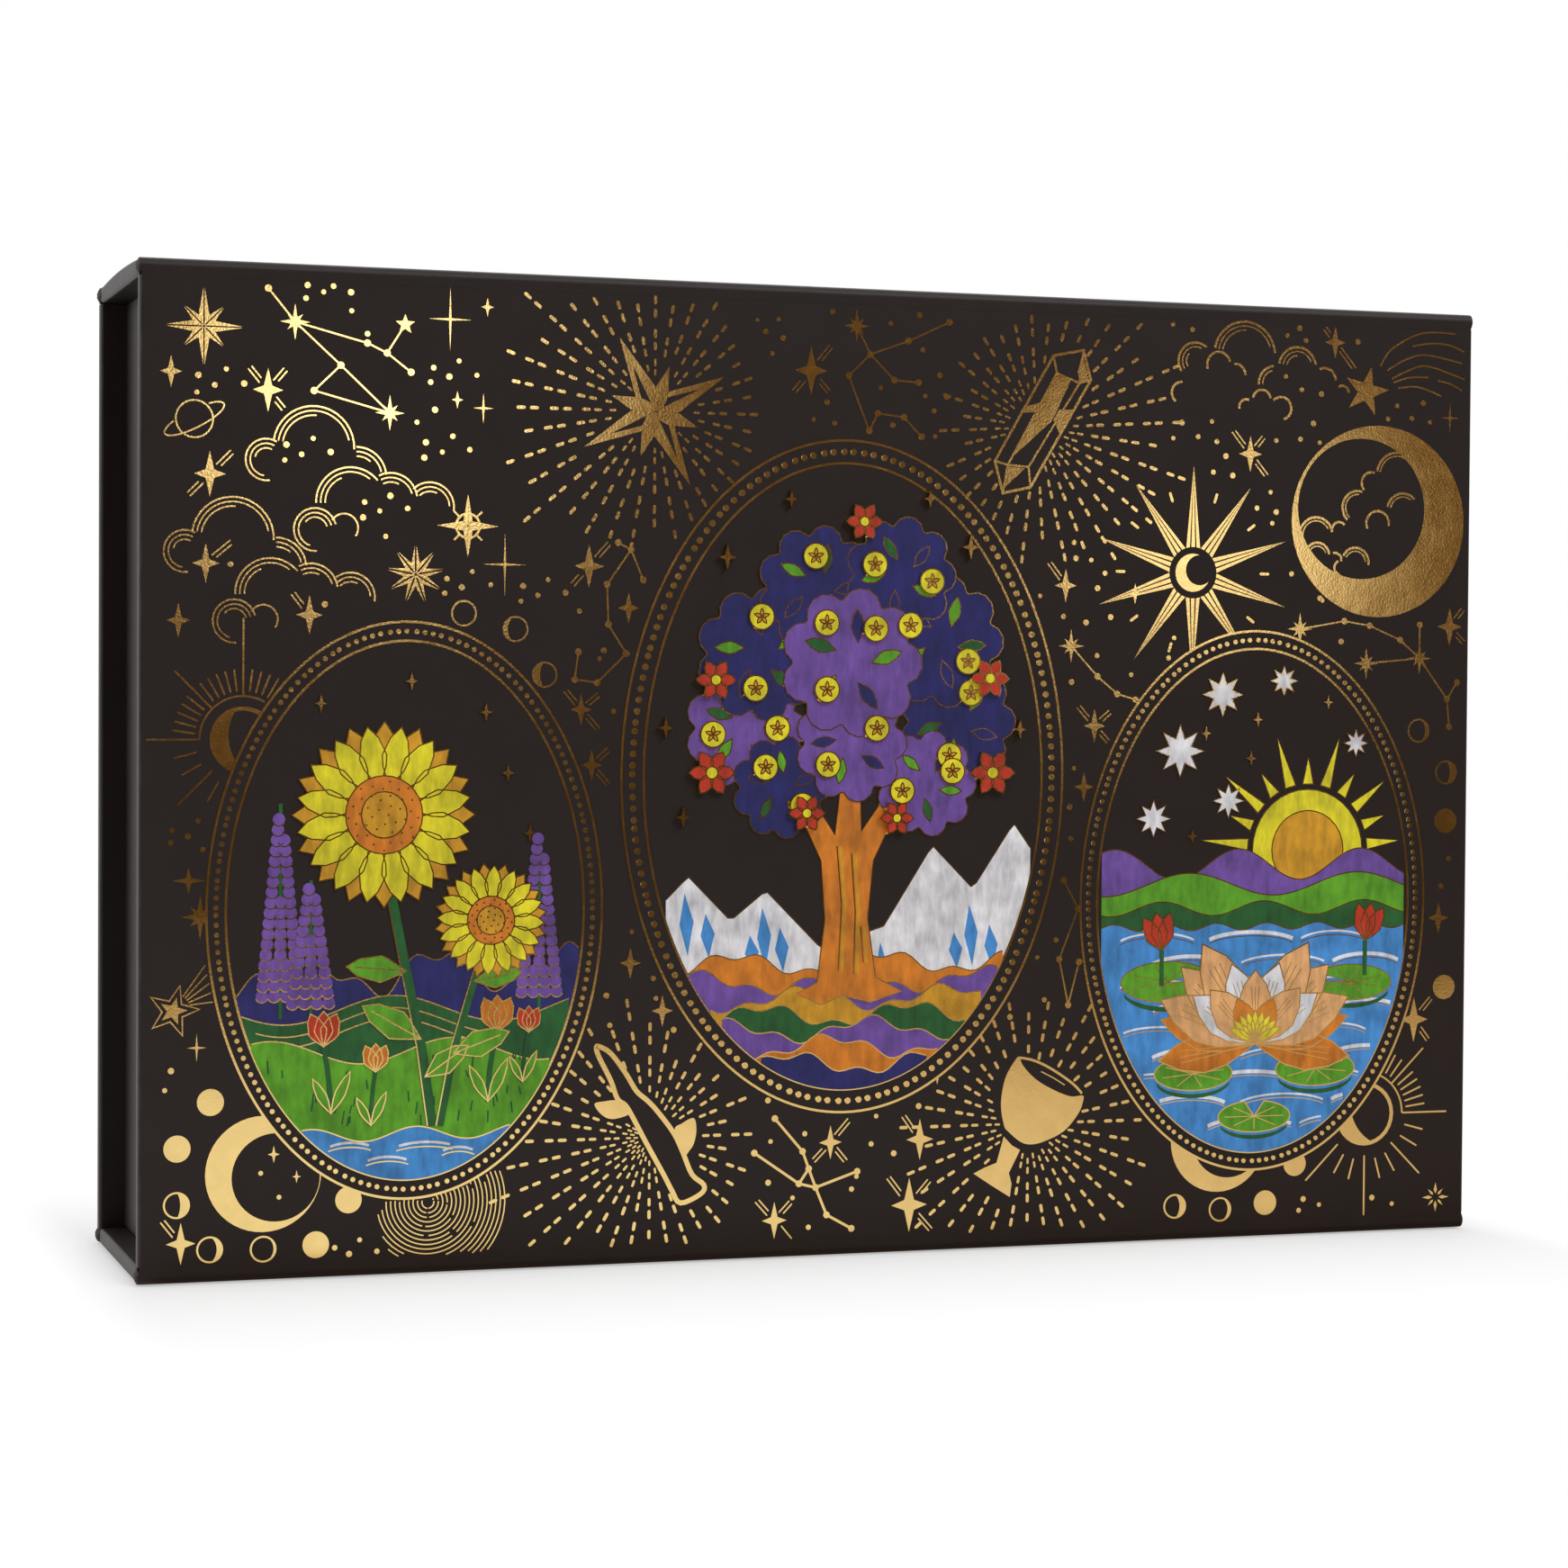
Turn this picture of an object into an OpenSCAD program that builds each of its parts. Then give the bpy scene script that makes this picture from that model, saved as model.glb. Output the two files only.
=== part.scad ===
// Tarot card deck in a hinged presentation box.
// The closed box stands on its flap: X runs along the box, -Y is the front cover and +Z is up.
// The origin is the middle of the face that the box stands on. Lengths are in millimetres.

/* [Cards] */
// Width of one card
card_w = 70; // [50:1:100]
// Length of one card
card_l = 120; // [80:1:160]
// Thickness of one card
card_t = 0.34; // [0.25:0.01:0.5]
// Air between two cards that lie on each other
card_air = 0.01; // [0.01:0.01:0.05]
// Radius of the card corners
card_r = 3.5; // [1:0.5:8]
// Number of cards in the major arcana
major_count = 22; // [10:1:30]
// Number of cards in each suit
suit_count = 14; // [10:1:16]

/* [Guidebook] */
// Width of the guidebook
book_w = 70; // [50:1:100]
// Height of the guidebook
book_l = 120; // [80:1:160]
// Number of folded page sections
section_count = 8; // [4:1:12]
// Thickness of one page section
section_t = 1.28; // [0.6:0.02:2]
// Air between two page sections
section_air = 0.02; // [0.01:0.01:0.1]
// Thickness of the cover card
book_cover_t = 0.35; // [0.2:0.05:1]
// Thickness of the glue along the guidebook's spine
book_glue_t = 0.3; // [0.1:0.1:1]

/* [Ribbons] */
// Width of a lifting ribbon
ribbon_w = 12; // [6:1:25]
// Thickness of a lifting ribbon
ribbon_t = 0.3; // [0.2:0.05:0.6]
// Length of ribbon that lies on the front of the deck or the guidebook
ribbon_tab = 32; // [15:1:60]
// Slack between a ribbon's turn and the end that it goes round
ribbon_slack = 0.4; // [0.1:0.1:1]

/* [Insert] */
// Thickness of the foam sheet on the tray floor
sheet_t = 3; // [1:0.5:8]
// Width of the blocks at the two ends of the tray
side_block_w = 12; // [6:1:30]
// Width of the block between the two wells
centre_block_w = 12; // [6:1:40]
// Gap on each side of the deck and of the guidebook in its well
well_gap = 1; // [0.5:0.1:3]
// Gap between the insert and the tray walls
insert_gap = 0.2; // [0.1:0.1:0.6]
// How far the insert stays below the tray's rim
insert_drop = 1; // [0.5:0.5:3]
// Least thickness of the riser under the guidebook
riser_min = 2; // [1:0.5:6]

/* [Tray] */
// Thickness of the tray's wall boards
wall_t = 1.6; // [1.5:0.1:3]
// Thickness of the tray's floor board
floor_t = 1.8; // [1:0.1:3]
// Spare length of the wells beyond the longer of deck and guidebook
end_room = 3.5; // [2:0.5:10]
// Gap under the end that the deck and the guidebook stand on
seat_gap = 0.2; // [0.1:0.1:0.5]
// Gap between the tray's rim and the closed lid
rim_gap = 0.3; // [0.1:0.1:1]
// Leg of a paper corner stay
stay_leg = 15; // [8:1:25]
// Thickness of a paper corner stay
stay_t = 0.15; // [0.1:0.05:0.3]

/* [Case] */
// Thickness of the case boards
board_t = 1.8; // [1.5:0.1:3]
// Thickness of the wrap and lining papers
paper_t = 0.17; // [0.1:0.01:0.4]
// Thickness of the glue film between a board and its paper
glue_t = 0.03; // [0.01:0.01:0.1]
// Width of wrap paper turned in round a board's edge
turn_in = 14; // [6:1:16]
// How far the case stands past each end of the tray
overhang = 3.5; // [1:0.5:8]
// Gap between a lining and the paper turned in round it
liner_gap = 0.1; // [0.05:0.05:0.5]
// Gap between a board and the paper joint beside it
fold_gap = 0.1; // [0.05:0.05:0.4]
// Gap between the closed flap and the tray
flap_gap = 0.1; // [0.1:0.1:0.5]
// Gap between the flap's free edge and the base
flap_edge_gap = 0.5; // [0.2:0.1:2]
// Clear space between the ribbon tabs and the closed lid
headroom = 2.9; // [1.5:0.1:8]

/* [Magnets] */
// Diameter of a disc magnet
magnet_d = 10; // [5:0.5:16]
// Thickness of a disc magnet
magnet_t = 1.2; // [0.8:0.1:1.3]
// Distance between the two magnets of a pair
magnet_spacing = 120; // [40:1:130]
// Gap all round a magnet in its pocket
magnet_gap = 0.1; // [0.05:0.05:0.2]

/* [Hidden] */
$fn = 64;
// Cuts reach this far past the faces that they open
cut = 0.5;

black_paper = [0.10, 0.09, 0.09];
lining_black = [0.14, 0.13, 0.13];
greyboard = [0.55, 0.53, 0.50];
kraft = [0.66, 0.52, 0.36];
foam_black = [0.17, 0.17, 0.18];
card_black = [0.20, 0.17, 0.12];
page_white = [0.93, 0.91, 0.86];
glue_clear = [0.85, 0.82, 0.70];
satin_gold = [0.75, 0.60, 0.30];
magnet_grey = [0.70, 0.71, 0.73];

// Thicknesses of the stacks
deck_count = major_count + 4 * suit_count;
card_pitch = card_t + card_air;
deck_t = deck_count * card_pitch;
section_pitch = section_t + section_air;
pages_t = section_count * section_pitch;
book_t = pages_t + 2 * book_cover_t;
contents_t = max(deck_t, book_t + riser_min);
riser_t = contents_t - book_t;
skin_t = paper_t + glue_t;
panel_t = board_t + 2 * skin_t;
wall_total_t = wall_t + 2 * skin_t;

// Sizes of the wells, the tray and the closed case
deck_well_w = card_w + 2 * well_gap;
book_well_w = book_w + 2 * well_gap;
well_l = max(card_l, book_l) + end_room;
tray_in_w = 2 * side_block_w + centre_block_w + deck_well_w + book_well_w;
tray_w = tray_in_w + 2 * wall_total_t;
tray_l = well_l + 2 * wall_total_t;
case_w = tray_w + 2 * overhang;
case_h = 2 * panel_t + flap_gap + tray_l;
case_d = 2 * panel_t + floor_t + sheet_t + contents_t + 2 * ribbon_t + headroom;

// Levels from front to back, along Y
front_y = -case_d / 2;
back_y = case_d / 2;
lid_in_y = front_y + panel_t;
rim_y = lid_in_y + rim_gap;
base_in_y = back_y - panel_t;
floor_y = base_in_y - floor_t;
sheet_y = floor_y - sheet_t;
deck_back_y = sheet_y - ribbon_t;
book_back_y = sheet_y - riser_t - ribbon_t;
insert_y = rim_y + insert_drop;

// Levels from bottom to top, along Z
tray_z = panel_t + flap_gap;
well_z = tray_z + wall_total_t;
contents_z = well_z + seat_gap;
tray_top_z = tray_z + tray_l;

// Places from left to right, along X
case_x = -case_w / 2;
tray_x = -tray_w / 2;
well_x = -tray_in_w / 2;
deck_x = well_x + side_block_w + well_gap;
centre_x = deck_x + card_w + well_gap;
book_x = centre_x + centre_block_w + well_gap;
right_block_x = book_x + book_w + well_gap;

// Paper joints: round folds, flush with the outer faces, on the hinge lines
fold_r = panel_t / 2;
fold_front_y = front_y + fold_r;
fold_back_y = back_y - fold_r;
fold_top_z = case_h - fold_r;
fold_low_z = fold_r;
// Distance from a case face to the board edge behind a paper joint
fold_end = panel_t + fold_gap;

lid_h = case_h - 2 * fold_end;
base_h = case_h - fold_end;
spine_d = case_d - 2 * fold_end;
flap_d = case_d - fold_end - panel_t - flap_edge_gap;

// Magnets sit in the middle of the flap
magnet_y = front_y + fold_end + flap_d / 2;
pocket_r = magnet_d / 2 + magnet_gap;
pocket_t = magnet_t + magnet_gap;

// A case panel lies in its own frame: X along the box, Y from fold to fold or free edge,
// Z from the outer face to the inner face. A free edge has its wrap turned in.
module panel_board(w, h, low_free, high_free) {
    low = low_free ? skin_t : 0;
    high = high_free ? skin_t : 0;
    translate([skin_t, low, skin_t])
        cube([w - 2 * skin_t, h - low - high, board_t]);
}

module panel_wrap(w, h, low_free, high_free) {
    low = low_free ? paper_t : -cut;
    high = high_free ? paper_t : -cut;
    low_window = low_free ? turn_in : -cut;
    high_window = high_free ? turn_in : -cut;
    difference() {
        cube([w, h, panel_t]);
        translate([paper_t, low, paper_t])
            cube([w - 2 * paper_t, h - low - high, panel_t - 2 * paper_t]);
        translate([turn_in, low_window, panel_t / 2])
            cube([w - 2 * turn_in, h - low_window - high_window, panel_t]);
    }
}

module panel_liner(w, h, low_free, high_free) {
    side = turn_in + liner_gap;
    low = low_free ? side : 0;
    high = high_free ? side : 0;
    translate([side, low, panel_t - paper_t]) cube([w - 2 * side, h - low - high, paper_t]);
}

module at_base() {
    translate([case_x, back_y, 0]) rotate([90, 0, 0]) children();
}

module at_spine() {
    translate([case_x, spine_d / 2, case_h]) rotate([180, 0, 0]) children();
}

module at_lid() {
    translate([-case_x, front_y, fold_end]) rotate([90, 0, 180]) children();
}

module at_flap() {
    translate([case_x, front_y + fold_end, 0]) children();
}

module paper_joint(y, z) {
    translate([case_x, y, z]) rotate([0, 90, 0]) cylinder(r = fold_r, h = case_w);
}

// Base: the back panel, which carries the tray
module base_board() {
    color(greyboard) at_base() panel_board(case_w, base_h, true, false);
}

module base_wrap() {
    color(black_paper) at_base() panel_wrap(case_w, base_h, true, false);
}

module base_spine_joint() {
    color(black_paper) paper_joint(fold_back_y, fold_top_z);
}

// Spine: the top panel, glued along the tray
module spine_board() {
    color(greyboard) at_spine() panel_board(case_w, spine_d, false, false);
}

module spine_wrap() {
    color(black_paper) at_spine() panel_wrap(case_w, spine_d, false, false);
}

module spine_liner() {
    color(lining_black) at_spine() panel_liner(case_w, spine_d, false, false);
}

module spine_lid_joint() {
    color(black_paper) paper_joint(fold_front_y, fold_top_z);
}

// Lid: the printed front cover
module lid_board() {
    color(greyboard) at_lid() panel_board(case_w, lid_h, false, false);
}

module lid_wrap() {
    color(black_paper) at_lid() panel_wrap(case_w, lid_h, false, false);
}

module lid_liner() {
    color(lining_black) at_lid() panel_liner(case_w, lid_h, false, false);
}

module lid_flap_joint() {
    color(black_paper) paper_joint(fold_front_y, fold_low_z);
}

// Flap: the bottom panel, which the magnets hold to the tray
module at_magnets(z) {
    for (side = [-1, 1])
        translate([side * magnet_spacing / 2, magnet_y, z]) children();
}

module flap_board() {
    color(greyboard) difference() {
        at_flap() panel_board(case_w, flap_d, false, true);
        at_magnets(panel_t - skin_t - pocket_t) cylinder(r = pocket_r, h = pocket_t + cut);
    }
}

module flap_wrap() {
    color(black_paper) at_flap() panel_wrap(case_w, flap_d, false, true);
}

module flap_liner() {
    color(lining_black) at_flap() panel_liner(case_w, flap_d, false, true);
}

module flap_magnets() {
    color(magnet_grey) at_magnets(panel_t - skin_t - magnet_t) cylinder(d = magnet_d, h = magnet_t);
}

// Tray: wall boards on a floor board, held by corner stays under one wrap
// A tray box is a block from level y0 back to y1, drawn in by inset from the tray's outside.
module tray_box(inset, y0, y1) {
    translate([tray_x + inset, y0, tray_z + inset])
        cube([tray_w - 2 * inset, y1 - y0, tray_l - 2 * inset]);
}

board_rim_y = rim_y + skin_t;
wall_d = floor_y - board_rim_y;

module tray_floor() {
    color(greyboard) tray_box(skin_t, floor_y, base_in_y);
}

module end_wall(x) {
    translate([x, board_rim_y, tray_z + skin_t + wall_t])
        cube([wall_t, wall_d, tray_l - 2 * (skin_t + wall_t)]);
}

module long_wall(z) {
    translate([tray_x + skin_t, board_rim_y, z]) cube([tray_w - 2 * skin_t, wall_d, wall_t]);
}

// Angles of paper round the four corners, grown by film where the boards make room for them
module corner_angles(film) {
    leg = stay_leg + film;
    intersection() {
        difference() {
            tray_box(skin_t - film, board_rim_y - film, floor_y + film);
            tray_box(skin_t + stay_t + film, board_rim_y - cut, floor_y + cut);
        }
        for (x = [tray_x, -tray_x - leg], z = [tray_z, tray_top_z - leg])
            translate([x, board_rim_y - cut, z]) cube([leg, wall_d + 2 * cut, leg]);
    }
}

module corner_stays() {
    color(kraft) corner_angles(0);
}

module tray_wall_left() {
    color(greyboard) difference() {
        end_wall(tray_x + skin_t);
        corner_angles(glue_t);
    }
}

module tray_wall_right() {
    color(greyboard) difference() {
        end_wall(-tray_x - skin_t - wall_t);
        corner_angles(glue_t);
    }
}

module tray_wall_spine() {
    color(greyboard) difference() {
        long_wall(tray_top_z - skin_t - wall_t);
        corner_angles(glue_t);
    }
}

module tray_wall_flap() {
    color(greyboard) difference() {
        long_wall(tray_z + skin_t);
        corner_angles(glue_t);
        at_magnets(tray_z + skin_t - cut) cylinder(r = pocket_r, h = pocket_t + cut);
    }
}

// One sheet of paper up the outside of the walls, over the rim and down to the floor board
module tray_wrap() {
    color(black_paper) difference() {
        tray_box(0, rim_y, base_in_y);
        tray_box(wall_total_t, rim_y - cut, base_in_y + cut);
        tray_box(wall_total_t / 2, floor_y - glue_t, base_in_y + cut);
        difference() {
            tray_box(paper_t, rim_y + paper_t, base_in_y + cut);
            tray_box(wall_total_t - paper_t, rim_y, base_in_y + 2 * cut);
        }
    }
}

module tray_magnets() {
    color(magnet_grey) at_magnets(tray_z + skin_t) cylinder(d = magnet_d, h = magnet_t);
}

// Insert: a foam sheet on the tray floor, and blocks that part the two wells
insert_z = well_z + insert_gap;
insert_l = well_l - 2 * insert_gap;

module insert_base_sheet() {
    color(foam_black)
        translate([well_x + insert_gap, sheet_y, insert_z])
            cube([tray_in_w - 2 * insert_gap, sheet_t, insert_l]);
}

module insert_block(x, w, y0) {
    color(foam_black) translate([x, y0, insert_z]) cube([w, sheet_y - y0, insert_l]);
}

module insert_left_block() {
    insert_block(well_x + insert_gap, side_block_w - insert_gap, insert_y);
}

module insert_centre_block() {
    insert_block(centre_x, centre_block_w, insert_y);
}

module insert_right_block() {
    insert_block(right_block_x, side_block_w - insert_gap, insert_y);
}

module insert_book_riser() {
    insert_block(book_x - well_gap + insert_gap, book_well_w - 2 * insert_gap, sheet_y - riser_t);
}

// Deck: the suits lie behind the major arcana, each card a loose sheet
module card() {
    rotate([90, 0, 0]) linear_extrude(card_t) {
        translate([card_r, 0]) square([card_w - 2 * card_r, card_l]);
        translate([0, card_r]) square([card_w, card_l - 2 * card_r]);
        for (x = [card_r, card_w - card_r], z = [card_r, card_l - card_r])
            translate([x, z]) circle(card_r);
    }
}

module cards(first, count) {
    for (i = [first : first + count - 1])
        translate([deck_x, deck_back_y - i * card_pitch - card_air, contents_z]) color(card_black) card();
}

module pentacles_cards() {
    cards(0, suit_count);
}

module swords_cards() {
    cards(suit_count, suit_count);
}

module cups_cards() {
    cards(2 * suit_count, suit_count);
}

module wands_cards() {
    cards(3 * suit_count, suit_count);
}

module major_arcana_cards() {
    cards(4 * suit_count, major_count);
}

// A lifting ribbon runs behind its stack, round the upper end and down the front
module ribbon(x, y_back, stack_t, stack_l) {
    turn_z = contents_z + stack_l + ribbon_slack;
    color(satin_gold) translate([x - ribbon_w / 2, 0, 0]) {
        translate([0, y_back, contents_z])
            cube([ribbon_w, ribbon_t, stack_l + ribbon_slack]);
        translate([0, y_back - stack_t - ribbon_t, turn_z])
            cube([ribbon_w, stack_t + 2 * ribbon_t, ribbon_t]);
        translate([0, y_back - stack_t - ribbon_t, turn_z - ribbon_tab])
            cube([ribbon_w, ribbon_t, ribbon_tab]);
    }
}

module deck_ribbon() {
    ribbon(deck_x + card_w / 2, deck_back_y, deck_t, card_l);
}

// Guidebook: page sections glued into the fold of one cover
page_y = book_back_y - book_cover_t - pages_t;

module guidebook_cover() {
    color(black_paper) difference() {
        translate([book_x, book_back_y - book_t, contents_z]) cube([book_w, book_t, book_l]);
        translate([book_x + book_cover_t, page_y, contents_z - cut])
            cube([book_w, pages_t, book_l + 2 * cut]);
    }
}

module guidebook_glue() {
    color(glue_clear)
        translate([book_x + book_cover_t, page_y, contents_z]) cube([book_glue_t, pages_t, book_l]);
}

module guidebook_sections() {
    page_x = book_x + book_cover_t + book_glue_t;
    page_w = book_w - book_cover_t - book_glue_t;
    for (i = [0 : section_count - 1])
        translate([page_x, book_back_y - book_cover_t - (i + 1) * section_pitch, contents_z])
            color(page_white) cube([page_w, section_t, book_l]);
}

module book_ribbon() {
    ribbon(book_x + book_w / 2, book_back_y, book_t, book_l);
}

base_board();
base_wrap();
base_spine_joint();
spine_board();
spine_wrap();
spine_liner();
spine_lid_joint();
lid_board();
lid_wrap();
lid_liner();
lid_flap_joint();
flap_board();
flap_wrap();
flap_liner();
flap_magnets();
tray_floor();
tray_wall_left();
tray_wall_right();
tray_wall_spine();
tray_wall_flap();
tray_wrap();
corner_stays();
tray_magnets();
insert_base_sheet();
insert_left_block();
insert_centre_block();
insert_right_block();
insert_book_riser();
major_arcana_cards();
wands_cards();
cups_cards();
swords_cards();
pentacles_cards();
deck_ribbon();
guidebook_cover();
guidebook_sections();
guidebook_glue();
book_ribbon();
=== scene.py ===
"""Looks of a tarot card deck in its hinged presentation box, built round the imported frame."""
import math
import random

import bmesh
import bpy
from bpy.types import NodeSocket, Operator, Panel, PropertyGroup
from mathutils import Matrix, Vector


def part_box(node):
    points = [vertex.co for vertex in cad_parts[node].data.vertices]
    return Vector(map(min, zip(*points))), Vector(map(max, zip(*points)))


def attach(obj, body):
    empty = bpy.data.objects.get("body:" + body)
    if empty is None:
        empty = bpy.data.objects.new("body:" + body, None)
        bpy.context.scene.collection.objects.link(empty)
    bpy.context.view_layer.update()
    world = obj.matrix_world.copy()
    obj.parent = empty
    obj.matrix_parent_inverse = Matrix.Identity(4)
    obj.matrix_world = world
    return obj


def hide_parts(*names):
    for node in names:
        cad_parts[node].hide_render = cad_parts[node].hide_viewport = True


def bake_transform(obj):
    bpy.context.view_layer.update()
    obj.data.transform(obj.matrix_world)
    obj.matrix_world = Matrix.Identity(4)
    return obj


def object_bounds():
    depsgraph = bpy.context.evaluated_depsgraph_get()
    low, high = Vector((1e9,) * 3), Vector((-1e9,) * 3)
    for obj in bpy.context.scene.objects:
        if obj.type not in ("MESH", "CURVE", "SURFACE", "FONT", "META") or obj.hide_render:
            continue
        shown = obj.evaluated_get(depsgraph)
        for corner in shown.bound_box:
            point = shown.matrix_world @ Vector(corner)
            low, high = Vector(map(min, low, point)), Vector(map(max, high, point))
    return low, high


bl_info = {
    "name": "Tarot card box",
    "version": (1, 0, 0),
    "blender": (4, 5, 0),
    "location": "3D View > Sidebar > Tarot box",
    "description": "Dresses a tarot card box in paper, gold foil and printed pictures",
    "category": "Object",
}

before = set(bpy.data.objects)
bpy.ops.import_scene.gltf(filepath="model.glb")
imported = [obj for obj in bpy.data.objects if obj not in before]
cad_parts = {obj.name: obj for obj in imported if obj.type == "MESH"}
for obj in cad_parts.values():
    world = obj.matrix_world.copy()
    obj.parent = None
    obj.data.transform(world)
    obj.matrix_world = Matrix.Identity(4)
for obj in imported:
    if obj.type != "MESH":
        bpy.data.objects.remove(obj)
CAD_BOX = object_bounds()
MM = 0.001

# Levels of the frame that the dressing starts from
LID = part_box("lid_wrap")
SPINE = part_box("spine_wrap")
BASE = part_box("base_wrap")
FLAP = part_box("flap_wrap")
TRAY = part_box("tray_wrap")
TOP_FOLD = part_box("spine_lid_joint")
BACK_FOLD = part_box("base_spine_joint")
LOW_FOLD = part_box("lid_flap_joint")
COVER_Y = LID[0].y


# Settings
def length(name, description, default):
    return bpy.props.FloatProperty(
        name=name, description=description, default=default, min=0, unit="LENGTH", subtype="DISTANCE"
    )


def colour(name, description, default):
    return bpy.props.FloatVectorProperty(
        name=name, description=description, default=default, min=0, max=1, subtype="COLOR"
    )


def number(name, description, default):
    return bpy.props.FloatProperty(name=name, description=description, default=default)


class CaseSettings(PropertyGroup):
    wrap: colour("Wrap paper", "Soft-touch paper on the outside", (0.0136, 0.0071, 0.0057))
    # Lighter wrap colour on rounded edges: partly real wear, partly a painted highlight
    worn: colour("Worn edge", "Wrap paper where an edge is rubbed, lightened as wear and as a painted highlight", (0.038, 0.033, 0.031))
    lining: colour("Lining paper", "Paper on the inside of the case", (0.020, 0.018, 0.018))
    board: colour("Greyboard", "Boards under the wrap paper", (0.33, 0.31, 0.28))
    kraft: colour("Kraft paper", "Corner stays of the tray", (0.40, 0.26, 0.13))
    nickel: colour("Nickel", "Plating of the magnets", (0.62, 0.62, 0.63))
    edge_radius: length("Edge radius", "Rounding of a wrapped board's edges", 0.5 * MM)
    paper_t: length("Paper thickness", "Thickness of the wrap paper", 0.17 * MM)
    glue_t: length("Glue film", "Glue between a board and its paper", 0.03 * MM)
    turn_in: length("Turn-in", "Width of wrap paper turned in round a board", 14 * MM)
    spine_bow: length("Spine bow", "How far the middle of the spine stands proud", 0.45 * MM)


class FoilSettings(PropertyGroup):
    foil: colour("Gold foil", "Hot-stamped foil on the cover, the cards and the book", (0.88, 0.64, 0.25))
    thickness: length("Foil height", "How far the foil stands above the paper", 0.03 * MM)
    slope: length("Foil slope", "Width of the sloped edge of the foil", 0.025 * MM)
    line: length("Line width", "Width of a thin drawn line", 0.30 * MM)
    outline: length("Picture outline", "Width of the gold outlines in the pictures", 0.20 * MM)
    bead_pitch: number("Bead pitch", "Distance between two beads, as a share of the frame's width", 0.47)


class PictureSettings(PropertyGroup):
    yellow: colour("Yellow", "Petals, fruit and sun", (0.76, 0.66, 0.018))
    amber: colour("Amber", "Flower hearts and shaded petals", (0.62, 0.30, 0.015))
    orange: colour("Orange", "Trunk, tulips and rock", (0.66, 0.20, 0.015))
    red: colour("Red", "Poppies and blossom", (0.52, 0.035, 0.012))
    leaf: colour("Leaf green", "Meadow and leaves", (0.11, 0.36, 0.015))
    pine: colour("Dark green", "Far meadow and leaf undersides", (0.018, 0.11, 0.025))
    violet: colour("Violet", "Hills and flower spikes", (0.16, 0.075, 0.34))
    indigo: colour("Indigo", "Tree crown", (0.020, 0.020, 0.13))
    blue: colour("Blue", "Water and snow shadows", (0.060, 0.26, 0.62))
    white: colour("White", "Snow, ripples and stars", (0.76, 0.74, 0.76))
    peach: colour("Peach", "Water lily petals", (0.80, 0.42, 0.17))


class ContentsSettings(PropertyGroup):
    card_face: colour("Card face", "Printed ground of the cards", (0.014, 0.012, 0.013))
    card_edge: colour("Card edge", "Cut edge of the cards", (0.62, 0.57, 0.47))
    book_cover: colour("Book cover", "Cover card of the guidebook", (0.016, 0.013, 0.014))
    page: colour("Page", "Paper of the guidebook", (0.76, 0.71, 0.60))
    glue: colour("Book glue", "Glue along the guidebook's spine", (0.72, 0.66, 0.50))
    ribbon: colour("Ribbon", "Satin of the lifting ribbons", (0.48, 0.33, 0.12))
    foam: colour("Foam", "Foam insert", (0.020, 0.020, 0.022))


class StageSettings(PropertyGroup):
    floor: colour("Floor", "Colour of the pale floor", (0.86, 0.86, 0.87))
    azimuth: number("Azimuth", "Camera's turn from the front, in degrees, left is negative", -18.16)
    elevation: number("Elevation", "Camera's angle above the horizon, in degrees", 1.39)
    roll: number("Roll", "Camera's roll in degrees", 0.38)
    distance: length("Distance", "From the camera to its target", 511.2 * MM)
    lens: number("Lens", "Focal length in millimetres on a 36 mm square frame", 82.98)


# Shader helpers
def add_node(tree, kind, sockets=None, **settings):
    """One shader node; a socket takes a number, a colour or another node's output."""
    node = tree.nodes.new("ShaderNode" + kind)
    for name, value in settings.items():
        setattr(node, name, value)
    for name, value in (sockets or {}).items():
        if isinstance(value, NodeSocket):
            tree.links.new(value, node.inputs[name])
        else:
            node.inputs[name].default_value = value
    return node


def combine(tree, operation, *values):
    """The result of a Math node."""
    return add_node(tree, "Math", dict(enumerate(values)), operation=operation).outputs[0]


def vectors(tree, operation, *values, result="Vector"):
    """The result of a Vector Math node."""
    return add_node(tree, "VectorMath", dict(enumerate(values)), operation=operation).outputs[result]


def remap(tree, value, low=0.0, high=1.0, to_low=0.0, to_high=1.0, smooth=False):
    """A value moved from one range to another, evenly or with soft ends."""
    sockets = {"Value": value, "From Min": low, "From Max": high, "To Min": to_low, "To Max": to_high}
    kind = "SMOOTHSTEP" if smooth else "LINEAR"
    return add_node(tree, "MapRange", sockets, interpolation_type=kind).outputs[0]


def blended(tree, factor, low, high):
    """A blend of two colours; each is a colour or another node's output."""
    ends = [c if isinstance(c, NodeSocket) else (*c, 1) for c in (low, high)]
    sockets = {"Factor": factor, 6: ends[0], 7: ends[1]}
    return add_node(tree, "Mix", sockets, data_type="RGBA").outputs[2]


def new_group(name, socket, value):
    """A shared effect with one input, and that input's value inside it."""
    group = bpy.data.node_groups.new(name, "ShaderNodeTree")
    given = group.interface.new_socket(socket, in_out="INPUT", socket_type="NodeSocketFloat")
    given.default_value = value
    return group, group.nodes.new("NodeGroupInput").outputs[0]


def finish_group(group, **results):
    """Gives a shared effect its named outputs."""
    for socket in results:
        group.interface.new_socket(socket, in_out="OUTPUT", socket_type="NodeSocketFloat")
    out = group.nodes.new("NodeGroupOutput")
    for socket, value in results.items():
        group.links.new(value, out.inputs[socket])
    return group


def object_noise(group, scale, detail, stretch=None):
    """Noise over the object's own coordinates, in features per metre."""
    vector = add_node(group, "TexCoord").outputs["Object"]
    if stretch:
        vector = vectors(group, "MULTIPLY", vector, stretch)
    sockets = {"Vector": vector, "Scale": scale, "Detail": detail, "Roughness": 0.6}
    return add_node(group, "TexNoise", sockets).outputs["Fac"]


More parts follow.
